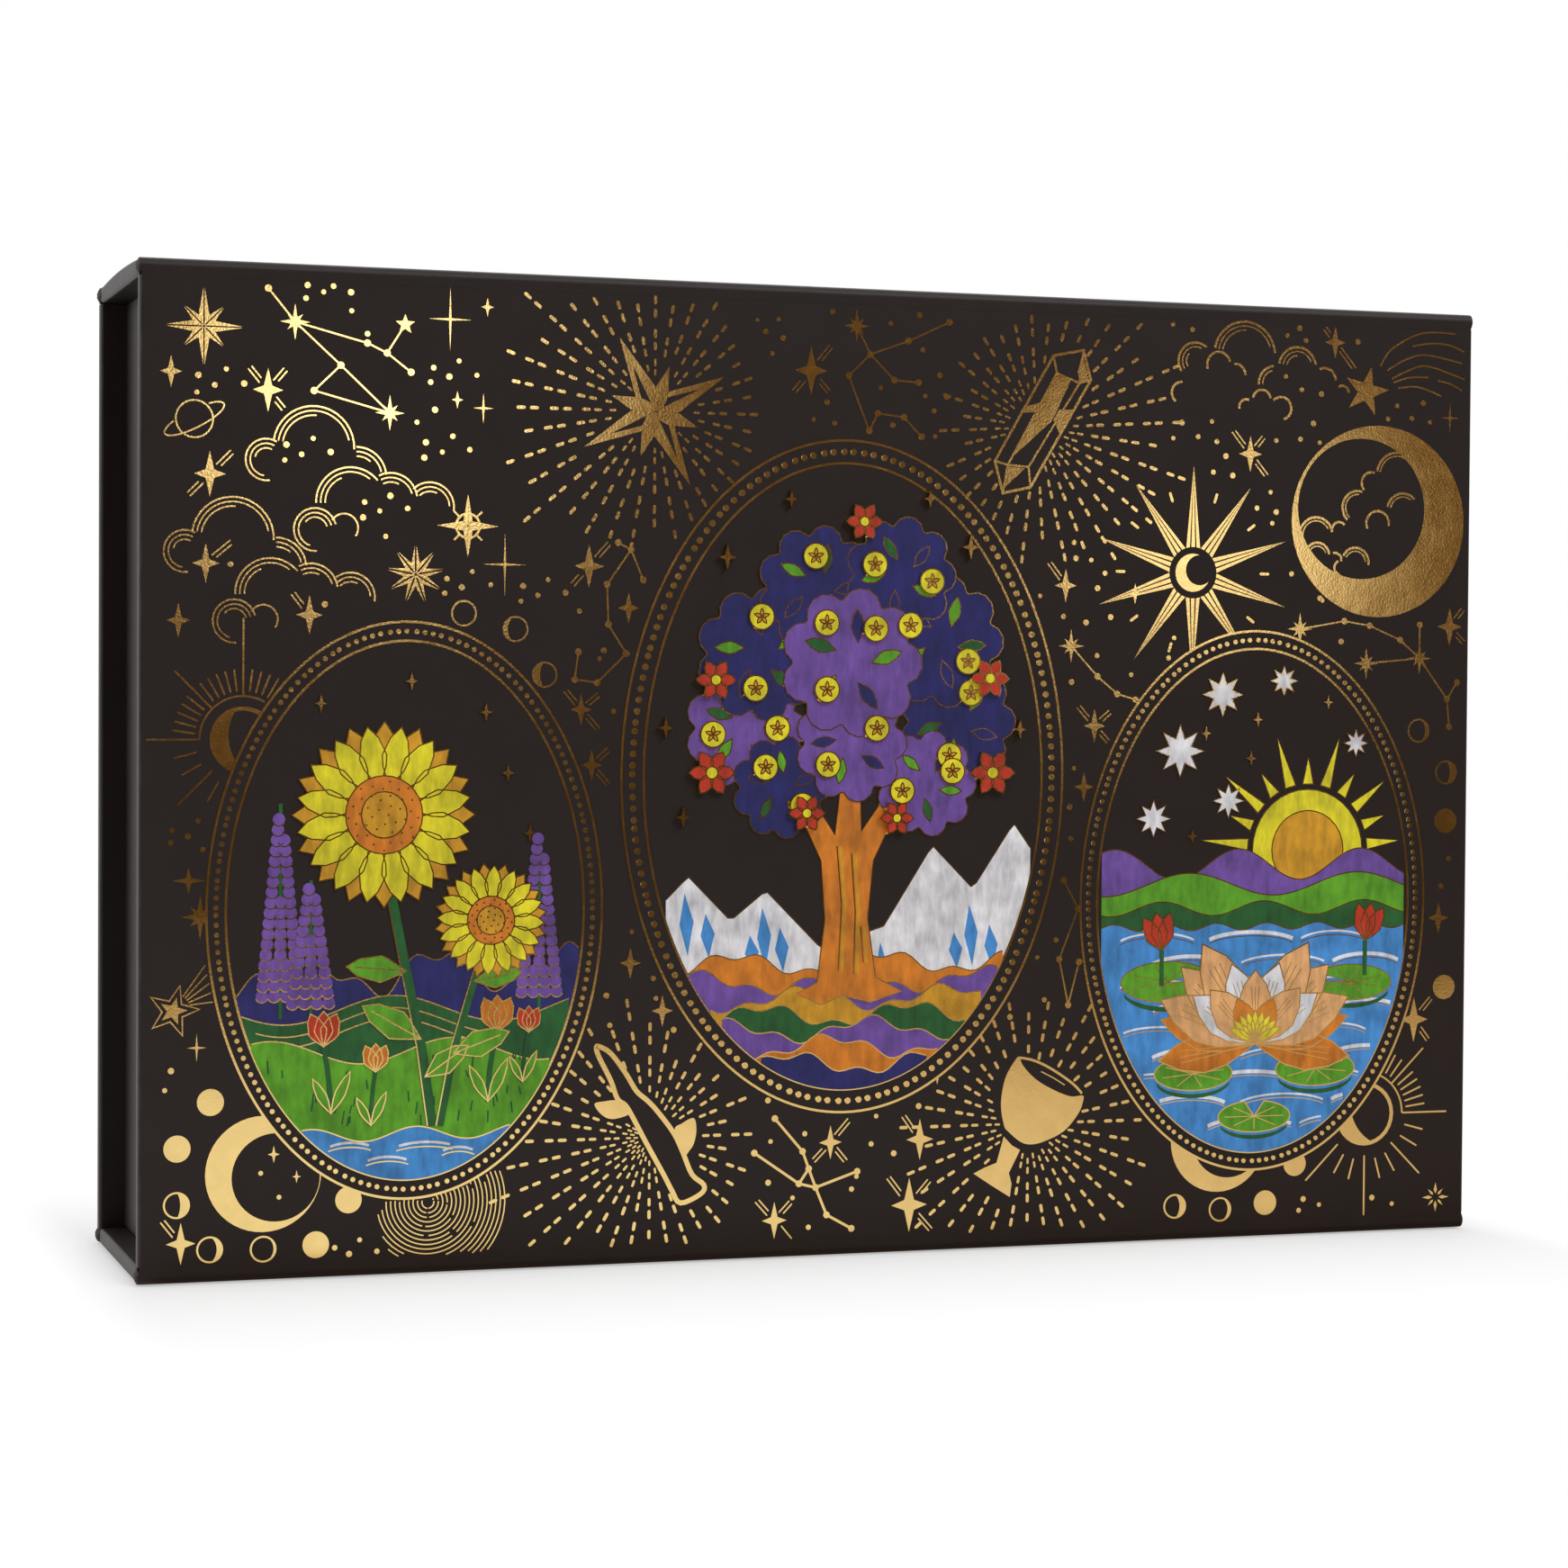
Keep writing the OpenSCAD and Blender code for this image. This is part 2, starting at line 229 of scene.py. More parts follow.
def fibre_group():
    """Matted fibres of paper and board: a fine height and a cloudy shade."""
    group, scale = new_group("Paper fibre", "Scale", 3000.0)
    fine = object_noise(group, scale, 4)
    cloudy = object_noise(group, 140.0, 3)
    return finish_group(group, Height=fine, Shade=combine(group, "MULTIPLY", fine, cloudy))


def wear_highlight_group():
    """Rubbed edges, lightened partly as wear and partly as a painted highlight: the mesh says where an edge
    is, and noise breaks the rub up.
    """
    group, amount = new_group("Worn edge", "Amount", 1.0)
    edge = add_node(group, "Attribute", attribute_name="wear").outputs["Fac"]
    patches = remap(group, object_noise(group, 260.0, 5), 0.38, 0.68)
    spread = combine(group, "MULTIPLY", edge, patches)
    return finish_group(group, Mask=combine(group, "MULTIPLY", spread, amount))


def crinkle_group():
    """Pressed metal foil: a fine crinkle over the paper's own grain, and duller patches."""
    group, scale = new_group("Foil crinkle", "Scale", 3000.0)
    fine = object_noise(group, scale, 3)
    broad = object_noise(group, 420.0, 2)
    return finish_group(group, Height=combine(group, "ADD", fine, broad), Dull=broad)


def pencil_group():
    """Coloured pencil strokes of a print, upright, with softer shading under them."""
    group, scale = new_group("Pencil strokes", "Scale", 900.0)
    strokes = object_noise(group, scale, 3, stretch=(1.0, 1.0, 0.30))
    shading = object_noise(group, 210.0, 2)
    both = combine(group, "ADD", strokes, shading)
    return finish_group(group, Shade=remap(group, both, 0.72, 1.30))


def stack_group():
    """Sheets stacked along Y: a dark line between two sheets."""
    group, pitch = new_group("Sheet stack", "Pitch", 0.35 * MM)
    place = add_node(group, "SeparateXYZ", {0: add_node(group, "TexCoord").outputs["Object"]})
    part = combine(group, "FRACT", combine(group, "DIVIDE", place.outputs["Y"], pitch))
    return finish_group(group, Line=combine(group, "COMPARE", part, 0.5, 0.42))


GROUP_MAKERS = {
    "Paper fibre": fibre_group,
    "Worn edge": wear_highlight_group,
    "Foil crinkle": crinkle_group,
    "Pencil strokes": pencil_group,
    "Sheet stack": stack_group,
}


def use_group(tree, name, **values):
    """Places a shared effect in a material, built the first time, and returns its outputs."""
    group = bpy.data.node_groups.get(name) or GROUP_MAKERS[name]()
    node = tree.nodes.new("ShaderNodeGroup")
    node.node_tree = group
    for socket, value in values.items():
        node.inputs[socket].default_value = value
    return node.outputs


def new_material(name, base, **constants):
    """A material with one Principled shader; constants are its fixed sockets."""
    material = bpy.data.materials.new(name)
    material.use_nodes = True
    tree = material.node_tree
    shader = tree.nodes["Principled BSDF"]
    shader.inputs["Base Color"].default_value = (*base, 1)
    for socket, value in constants.items():
        shader.inputs[socket.replace("_", " ")].default_value = value
    return material, tree, shader


def mix_colours(tree, shader, factor, low, high):
    """Feeds the base colour with a blend of two colours."""
    mixed = blended(tree, factor, low, high)
    tree.links.new(mixed, shader.inputs["Base Color"])
    return mixed


def add_bump(tree, shader, height, strength, distance):
    bump = add_node(tree, "Bump", {"Height": height, "Strength": strength, "Distance": distance})
    tree.links.new(bump.outputs["Normal"], shader.inputs["Normal"])


def vary_roughness(tree, shader, value, low, high):
    tree.links.new(remap(tree, value, to_low=low, to_high=high), shader.inputs["Roughness"])


def scaled(rgb, factor):
    return tuple(min(1.0, c * factor) for c in rgb)


def shade_surface(tree, shader, base, mask, tones, roughness, height=None, bump=0.0, depth=0.0):
    """Varies the colour and the roughness by a mask, and raises the surface by a height."""
    mixed = mix_colours(tree, shader, mask, *(scaled(base, tone) for tone in tones))
    vary_roughness(tree, shader, mask, *roughness)
    if height is not None:
        add_bump(tree, shader, height, bump, depth)
    return mixed


# Materials
def paper_material(name, base, worn=None, scale=3000.0, roughness=(0.46, 0.58), bump=0.25):
    """Uncoated or soft-touch paper with fibres, and rubbed edges with a painted highlight where the mesh has
    them.
    """
    material, tree, shader = new_material(name, base, Specular_IOR_Level=0.3)
    fibre = use_group(tree, "Paper fibre", Scale=scale)
    cloudy = shade_surface(
        tree, shader, base, fibre["Shade"], (0.80, 1.45), roughness, fibre["Height"], bump, 0.03 * MM
    )
    if worn:
        # Rubbed edges lightened as wear and as a painted highlight
        rub_highlight = use_group(tree, "Worn edge", Amount=0.8)
        mix_colours(tree, shader, rub_highlight["Mask"], cloudy, worn)
    return material


def metal_material(name, base, scale, tones, roughness, bump=0.0):
    """Pressed foil or plating: crinkled, with duller patches."""
    material, tree, shader = new_material(name, base, Metallic=1.0)
    crinkle = use_group(tree, "Foil crinkle", Scale=scale)
    height = crinkle["Height"] if bump else None
    shade_surface(tree, shader, base, crinkle["Dull"], tones, roughness, height, bump, 0.02 * MM)
    return material


def ink_material(name, base):
    """Printed ink, drawn with pencil strokes."""
    material, tree, shader = new_material(name, base, Specular_IOR_Level=0.3)
    pencil = use_group(tree, "Pencil strokes")
    shade_surface(tree, shader, base, pencil["Shade"], (0.62, 1.20), (0.50, 0.38))
    return material


def stacked_material(name, face, edge, pitch):
    """Printed sheets: the face's colour on front and back, the edge's colour on the cut sides."""
    material, tree, shader = new_material(name, face, Roughness=0.42)
    stack = use_group(tree, "Sheet stack", Pitch=pitch)
    cut = mix_colours(tree, shader, stack["Line"], scaled(edge, 0.45), edge)
    normal = add_node(tree, "SeparateXYZ", {0: add_node(tree, "TexCoord").outputs["Normal"]})
    mix_colours(tree, shader, combine(tree, "ABSOLUTE", normal.outputs["Y"]), cut, face)
    fibre = use_group(tree, "Paper fibre", Scale=5000.0)
    vary_roughness(tree, shader, fibre["Shade"], 0.36, 0.50)
    add_bump(tree, shader, fibre["Height"], 0.12, 0.02 * MM)
    return material


def satin_material(name, base):
    """Woven satin: fine ribs across the ribbon under a long sheen."""
    material, tree, shader = new_material(name, base, Sheen_Weight=0.25, Sheen_Roughness=0.35)
    place = add_node(tree, "TexCoord").outputs["Object"]
    weave = {"Vector": place, "Scale": 900.0, "Distortion": 0.6}
    ribs = add_node(tree, "TexWave", weave, bands_direction="X").outputs["Fac"]
    shade_surface(tree, shader, base, ribs, (0.75, 1.15), (0.28, 0.42), ribs, 0.25, 0.03 * MM)
    return material


def foam_material(name, base):
    """Closed-cell foam with fine pores."""
    material, tree, shader = new_material(name, base, Sheen_Weight=0.15)
    place = add_node(tree, "TexCoord").outputs["Object"]
    cells = add_node(tree, "TexVoronoi", {"Vector": place, "Scale": 2600.0}, feature="SMOOTH_F1")
    pores = cells.outputs["Distance"]
    fibre = use_group(tree, "Paper fibre", Scale=1800.0)
    shade_surface(tree, shader, base, fibre["Shade"], (0.7, 1.7), (0.78, 0.92), pores, 0.5, 0.08 * MM)
    return material


def material_named(name):
    """The finish of that name, made the first time that a piece asks for it."""
    found = bpy.data.materials.get(name)
    if found:
        return found
    scene = bpy.context.scene
    case, contents = scene.tarot_case, scene.tarot_contents
    makers = {
        "wrap_paper": (paper_material, case.wrap, case.worn),
        "lining_paper": (paper_material, case.lining, None, 1700.0, (0.55, 0.72), 0.4),
        "greyboard": (paper_material, case.board, None, 900.0, (0.8, 0.95), 0.6),
        "kraft_paper": (paper_material, case.kraft, None, 1200.0, (0.6, 0.8), 0.5),
        "book_glue": (paper_material, contents.glue, None, 500.0, (0.25, 0.4)),
        "nickel": (metal_material, case.nickel, 900.0, (0.85, 1.1), (0.16, 0.30)),
        "foam": (foam_material, contents.foam),
        "satin": (satin_material, contents.ribbon),
        "card_stock": (stacked_material, contents.card_face, contents.card_edge, 0.35 * MM),
        "book_cover": (stacked_material, contents.book_cover, contents.book_cover, 1.0),
        "book_pages": (stacked_material, contents.page, contents.page, 0.13 * MM),
        "gold_foil": (metal_material, scene.tarot_foil.foil, 3000.0, (0.86, 1.12), (0.06, 0.13), 0.26),
    }
    for ink in INKS[1:]:
        makers["ink_" + ink] = (ink_material, getattr(scene.tarot_pictures, ink))
    maker, *values = makers[name]
    return maker(name, *values)


def dress_node(node, material, bevel=0.0, segments=3):
    """Gives a frame node its finish, and rounds its edges with a modifier."""
    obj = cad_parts[node]
    obj.data.materials.clear()
    obj.data.materials.append(material_named(material))
    if bevel:
        rounding = obj.modifiers.new("Rounded edges", "BEVEL")
        rounding.width = bevel
        rounding.segments = segments
        rounding.limit_method = "ANGLE"


def add_piece(name, mesh, materials, body=None, replaces=()):
    """Links a new piece to the scene, and to the body that it moves with."""
    obj = bpy.data.objects.new(name, mesh)
    bpy.context.scene.collection.objects.link(obj)
    for material in materials:
        mesh.materials.append(material_named(material))
    if replaces:
        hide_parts(*replaces)
    if body:
        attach(obj, body)
    return obj


def mesh_from(name, verts, faces, smooth=False):
    mesh = bpy.data.meshes.new(name)
    mesh.from_pydata(verts, [], faces)
    mesh.validate()
    mesh.update()
    if smooth:
        mesh.shade_smooth()
    return mesh


def grid_faces(rows, columns, closed=False):
    """Faces over rows of points; closed joins the last column to the first."""
    faces = []
    for row in range(rows - 1):
        first, second = row * columns, (row + 1) * columns
        for i in range(columns if closed else columns - 1):
            j = (i + 1) % columns
            faces.append([first + i, first + j, second + j, second + i])
    return faces


def thicken_paper(obj):
    """Gives a sheet its thickness inwards, and keeps its flat faces evenly lit."""
    paper = obj.modifiers.new("Paper", "SOLIDIFY")
    paper.thickness = bpy.context.scene.tarot_case.paper_t
    paper.offset = -1
    obj.modifiers.new("Flat faces", "WEIGHTED_NORMAL")


# Case panels
def near(value, target):
    return abs(value - target) < 1e-6


def mark_wear_highlight(mesh, corners, radius, hinges):
    """Stores how close each point of a rounded edge is to the sharp edge that it replaces; the paper is
    lightened there as wear and as a painted highlight.
    """
    wear = mesh.attributes.new("wear", "FLOAT", "POINT")
    for point in mesh.vertices:
        gaps = []
        for axis in range(3):
            sides = [(axis, end) for end in (0, 1) if (axis, end) not in hinges]
            gaps.append(min([abs(point.co[a] - corners[end][a]) for a, end in sides] or [1.0]))
        gaps.sort()
        wear.data[point.index].value = max(0.0, 1 - gaps[1] / radius) / 0.707


def bow_outwards(bm, corners, rise):
    """Curves the upper side of a panel along Y, highest in the middle."""
    low, high = corners
    half = (high.y - low.y) / 2
    for i in range(1, 12):
        cut = Vector((0, low.y + half * i / 6, 0))
        geom = list(bm.verts) + list(bm.edges) + list(bm.faces)
        bmesh.ops.bisect_plane(bm, geom=geom, plane_co=cut, plane_no=(0, 1, 0))
    for point in bm.verts:
        if point.co.z > (low.z + high.z) / 2:
            point.co.z += rise * (1 - (point.co.y / half) ** 2)


def wrapped_panel(name, corners, outer, hinges, body, node, rise=0.0):
    """One sheet of paper wrapped round a board: rounded at its free edges, open at its hinges, and
    turned in round a window that the lining fills. outer and hinges are (axis, end) pairs."""
    case = bpy.context.scene.tarot_case
    low, high = corners
    bm = bmesh.new()
    bmesh.ops.create_cube(bm, size=1)
    bmesh.ops.transform(bm, verts=bm.verts, matrix=Matrix.LocRotScale((low + high) / 2, None, high - low))

    def on_hinge(item):
        return any(all(near(v.co[a], corners[end][a]) for v in item.verts) for a, end in hinges)

    free = [edge for edge in bm.edges if not on_hinge(edge)]
    bmesh.ops.bevel(bm, geom=free, offset=case.edge_radius, segments=4, profile=0.5, affect="EDGES")
    bmesh.ops.delete(bm, geom=[f for f in bm.faces if on_hinge(f)], context="FACES_ONLY")

    axis, inner = outer[0], corners[1 - outer[1]][outer[0]]
    window = {}
    for a in range(3):
        if a != axis:
            window[a] = [
                low[a] - 1 if (a, 0) in hinges else low[a] + case.turn_in,
                high[a] + 1 if (a, 1) in hinges else high[a] - case.turn_in,
            ]

    def inner_faces():
        return [f for f in bm.faces if all(near(v.co[axis], inner) for v in f.verts)]

    for a, limits in window.items():
        for limit in limits:
            faces = inner_faces()
            geom = faces + list(dict.fromkeys(item for f in faces for item in (*f.edges, *f.verts)))
            direction = Vector([float(i == a) for i in range(3)])
            bmesh.ops.bisect_plane(bm, geom=geom, plane_co=direction * limit, plane_no=direction)
    opened = [
        f for f in inner_faces()
        if all(window[a][0] < f.calc_center_median()[a] < window[a][1] for a in window)
    ]
    bmesh.ops.delete(bm, geom=opened, context="FACES")
    if rise:
        bow_outwards(bm, corners, rise)
    bmesh.ops.recalc_face_normals(bm, faces=bm.faces)
    mesh = bpy.data.meshes.new(name)
    bm.to_mesh(mesh)
    bm.free()
    # Marks the rounded edges, which the paper lightens as wear and as a painted highlight
    mark_wear_highlight(mesh, corners, case.edge_radius, hinges)
    mesh.shade_smooth()
    thicken_paper(add_piece(name, mesh, ["wrap_paper"], body, [node]))


class TAROT_OT_case(Operator):
    """Wraps the base, spine, lid and flap boards in paper"""
    bl_idname = "tarot_box.case"
    bl_label = "Case panels"

    def execute(self, context):
        y, z = 1, 2
        wrapped_panel("base_panel_wrap", BASE, (y, 1), {(z, 1)}, "case", "base_wrap")
        bow = context.scene.tarot_case.spine_bow
        wrapped_panel("spine_panel_wrap", SPINE, (z, 1), {(y, 0), (y, 1)}, "case", "spine_wrap", bow)
        wrapped_panel("lid_panel_wrap", LID, (y, 0), {(z, 0), (z, 1)}, "lid", "lid_wrap")
        wrapped_panel("flap_panel_wrap", FLAP, (z, 0), {(y, 0)}, "flap", "flap_wrap")
        case = context.scene.tarot_case
        board_edge = case.edge_radius - case.paper_t - case.glue_t
        for board in ("base_board", "spine_board", "lid_board", "flap_board"):
            dress_node(board, "greyboard", board_edge)
        for liner in ("spine_liner", "lid_liner", "flap_liner"):
            dress_node(liner, "lining_paper")
        for magnets in ("flap_magnets", "tray_magnets"):
            dress_node(magnets, "nickel", 0.2 * MM)
        return {"FINISHED"}


# Paper joints
def strip_piece(name, outside, inside, columns_x, material):
    """A thin closed strip along X between two matching (y, z) profiles."""
    profile = outside + inside[::-1]
    count = len(profile)
    verts = [(x, y, z) for x in columns_x for y, z in profile]
    faces = [list(range(count))[::-1], [len(verts) - count + i for i in range(count)]]
    faces += grid_faces(len(columns_x), count, closed=True)
    mesh = mesh_from(name, verts, faces)
    bm = bmesh.new()
    bm.from_mesh(mesh)
    bmesh.ops.recalc_face_normals(bm, faces=bm.faces)
    bm.to_mesh(mesh)
    bm.free()
    return add_piece(name, mesh, [material])


def fold_centre(fold):
    middle = (fold[0] + fold[1]) / 2
    return middle.y, middle.z


def turn_profile(centre, radius, lead, start, end, steps=10):
    """A (y, z) profile: straight, round the fold from start to end in degrees, and straight again."""
    way = 1 if end > start else -1
    points = arc(*centre, radius, start, end, steps)
    first, last = math.radians(start), math.radians(end)
    before = (points[0][0] + way * lead * math.sin(first), points[0][1] - way * lead * math.cos(first))
    after = (points[-1][0] - way * lead * math.sin(last), points[-1][1] + way * lead * math.cos(last))
    return [before, *points, after]


def joint_columns(fold, count=24):
    inset = 0.25 * MM
    low, high = fold[0].x + inset, fold[1].x - inset
    return [low + (high - low) * i / count for i in range(count + 1)]


class TAROT_OT_folds(Operator):
    """Lays the bending paper over the three folds, outside and inside"""
    bl_idname = "tarot_box.folds"
    bl_label = "Paper folds"

    def execute(self, context):
        case = context.scene.tarot_case
        radius = (TOP_FOLD[1].z - TOP_FOLD[0].z) / 2 + 0.02 * MM
        lead = TOP_FOLD[1].z - radius - LID[1].z + 0.02 * MM
        folds = (
            ("spine_lid_fold", TOP_FOLD, 90, 180, ("case", "lid")),
            ("lid_flap_fold", LOW_FOLD, 180, 270, ("lid", "flap")),
            ("base_spine_fold", BACK_FOLD, 0, 90, None),
        )
        for name, fold, start, end, bodies in folds:
            centre = fold_centre(fold)
            outside = turn_profile(centre, radius, lead, start, end)
            inside = turn_profile(centre, radius - case.paper_t, lead, start, end)
            strip = strip_piece(name, outside, inside, joint_columns(fold), "wrap_paper")
            if bodies:
                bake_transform(strip)
            else:
                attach(strip, "case")
        linings = (
            ("spine_lid_lining", TOP_FOLD, (SPINE[0].y, SPINE[0].z), (LID[1].y, LID[1].z), ("case", "lid")),
            ("lid_flap_lining", LOW_FOLD, (LID[1].y, LID[0].z), (FLAP[0].y, FLAP[1].z), ("lid", "flap")),
        )
        for name, fold, start, end, bodies in linings:
            centre, steps = Vector(fold_centre(fold)), 16
            seam = [Vector(start).lerp(Vector(end), i / steps) for i in range(steps + 1)]
            half = case.paper_t / 2
            outside = [tuple(p + (p - centre).normalized() * half) for p in seam]
            inside = [tuple(p - (p - centre).normalized() * half) for p in seam]
            strip = strip_piece(name, outside, inside, joint_columns(fold), "lining_paper")
            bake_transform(strip)
        for roll in ("spine_lid_joint", "lid_flap_joint", "base_spine_joint"):
            dress_node(roll, "wrap_paper", 0.35 * MM)
        return {"FINISHED"}


def pleated_corner(name, place, out, body):
    """The gathered paper at the end of a fold: a small dome with pleats, out along X."""
    rings, spokes, pleats = 8, 30, 5
    radius, reach = 1.12 * MM, 0.75 * MM
    verts = []
    for ring in range(rings):
        rise = math.radians(90 * ring / rings)
        for spoke in range(spokes):
            angle = math.tau * spoke / spokes
            gather = 1 - 0.05 * (1 + math.cos(pleats * angle)) * math.sin(rise)
            across = radius * math.cos(rise) * gather
            verts.append((
                place[0] + out * reach * math.sin(rise) * gather,
                place[1] + across * math.cos(angle),
                place[2] + across * math.sin(angle),
            ))
    tip = len(verts)
    verts.append((place[0] + out * reach * 0.92, place[1], place[2]))
    faces = grid_faces(rings, spokes, closed=True)
    last = (rings - 1) * spokes
    faces += [[last + spoke, last + (spoke + 1) % spokes, tip] for spoke in range(spokes)]
    faces.append(list(range(spokes))[::-1])
    if out < 0:
        faces = [face[::-1] for face in faces]
    mesh = mesh_from(name, verts, faces)
    mesh.polygons.foreach_set("use_smooth", [True] * (len(mesh.polygons) - 1) + [False])
    add_piece(name, mesh, ["wrap_paper"], body)


class TAROT_OT_corners(Operator):
    """Gathers the paper at the ends of the folds and at the foot of the base"""
    bl_idname = "tarot_box.corners"
    bl_label = "Paper corners"

    def execute(self, context):
        inset = 0.35 * MM
        base_foot = (BASE[0].y + BASE[1].y) / 2, BASE[0].z + (BASE[1].y - BASE[0].y) / 2
        corners = (
            ("base_spine_corner", fold_centre(BACK_FOLD), "case"),
            ("spine_lid_corner", fold_centre(TOP_FOLD), "case"),
            ("lid_flap_corner", fold_centre(LOW_FOLD), "lid"),
            ("base_foot_corner", base_foot, "case"),
        )
        for name, (y, z), body in corners:
            pleated_corner(name + "_left", (LID[0].x + inset, y, z), -1, body)
            pleated_corner(name + "_right", (LID[1].x - inset, y, z), 1, body)
        return {"FINISHED"}


# Tray and insert
def rounded_rectangle(low, high, radius, steps=5):
    """Points round a rectangle in X and Z, from its lower left corner on."""
    points = []
    corners = ((low.x, low.z, 180), (high.x, low.z, 270), (high.x, high.z, 0), (low.x, high.z, 90))
    for x, z, start in corners:
        cx = x + radius if x == low.x else x - radius
        cz = z + radius if z == low.z else z - radius
        points += arc(cx, cz, radius, start, start + 90, steps)
    return points


class TAROT_OT_tray(Operator):
    """Wraps the tray in one sheet of paper, over the rim and down inside"""
    bl_idname = "tarot_box.tray"
    bl_label = "Tray"

    def execute(self, context):
        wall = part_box("insert_base_sheet")[0].x - TRAY[0].x - 0.2 * MM
        floor_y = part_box("tray_floor")[0].y
        bend, steps, corner, least = 0.45 * MM, 5, 0.25 * MM, 0.15 * MM
        swings = [math.radians(90 * i / steps) for i in range(steps + 1)]
        rim_y = TRAY[0].y + bend
        profile = [(0.0, TRAY[1].y)]
        profile += [(bend - bend * math.cos(a), rim_y - bend * math.sin(a)) for a in swings]
        profile += [(wall - bend + bend * math.sin(a), rim_y - bend * math.cos(a)) for a in swings]
        profile.append((wall, floor_y))
        verts = []
        for inset, y in profile:
            margin = Vector((inset, 0, inset))
            ring = rounded_rectangle(TRAY[0] + margin, TRAY[1] - margin, max(corner - inset, least))
            verts += [(x, y, z) for x, z in ring]
        faces = grid_faces(len(profile), len(verts) // len(profile), closed=True)
        mesh = mesh_from("tray_paper", verts, faces, smooth=True)
        thicken_paper(add_piece("tray_paper", mesh, ["wrap_paper"], "case", ["tray_wrap"]))
        for wall_node in ("left", "right", "spine", "flap"):
            dress_node("tray_wall_" + wall_node, "greyboard", 0.4 * MM)
        dress_node("tray_floor", "greyboard", 0.4 * MM)
        dress_node("corner_stays", "kraft_paper")
        return {"FINISHED"}


class TAROT_OT_insert(Operator):
    """Finishes the foam insert"""
    bl_idname = "tarot_box.insert"
    bl_label = "Foam insert"

    def execute(self, context):
        dress_node("insert_base_sheet", "foam")
        for block in ("insert_left_block", "insert_centre_block", "insert_right_block", "insert_book_riser"):
            dress_node(block, "foam", 0.7 * MM, 4)
        return {"FINISHED"}


# Flat work: foil and ink plates on a face, drawn in millimetres, x to the right and z up.
# A plate starts SINK under the face, and its top is one of PLATE_STEPS heights, PLATE_STEP apart.
SINK = 0.02
PLATE_STEP = 0.0002
PLATE_STEPS = 24


def polar(x, z, radius, degrees):
    angle = math.radians(degrees)
    return x + radius * math.cos(angle), z + radius * math.sin(angle)


def arc(x, z, radius, start, end, steps=16, tall=None):
    """Points on a circle, or on an ellipse with its own height radius."""
    tall = radius if tall is None else tall
    points = []
    for i in range(steps + 1):
        angle = math.radians(start + (end - start) * i / steps)
        points.append((x + radius * math.cos(angle), z + tall * math.sin(angle)))
    return points


def circle(x, z, radius, steps=20, tall=None):
    return arc(x, z, radius, 0, 360, steps, tall)[:-1]


def placed(points, x, z, degrees=0.0, size=1.0):
    """Points of a small drawing, turned, sized and moved to its place."""
    c, s = math.cos(math.radians(degrees)) * size, math.sin(math.radians(degrees)) * size
    return [(x + px * c - pz * s, z + px * s + pz * c) for px, pz in points]


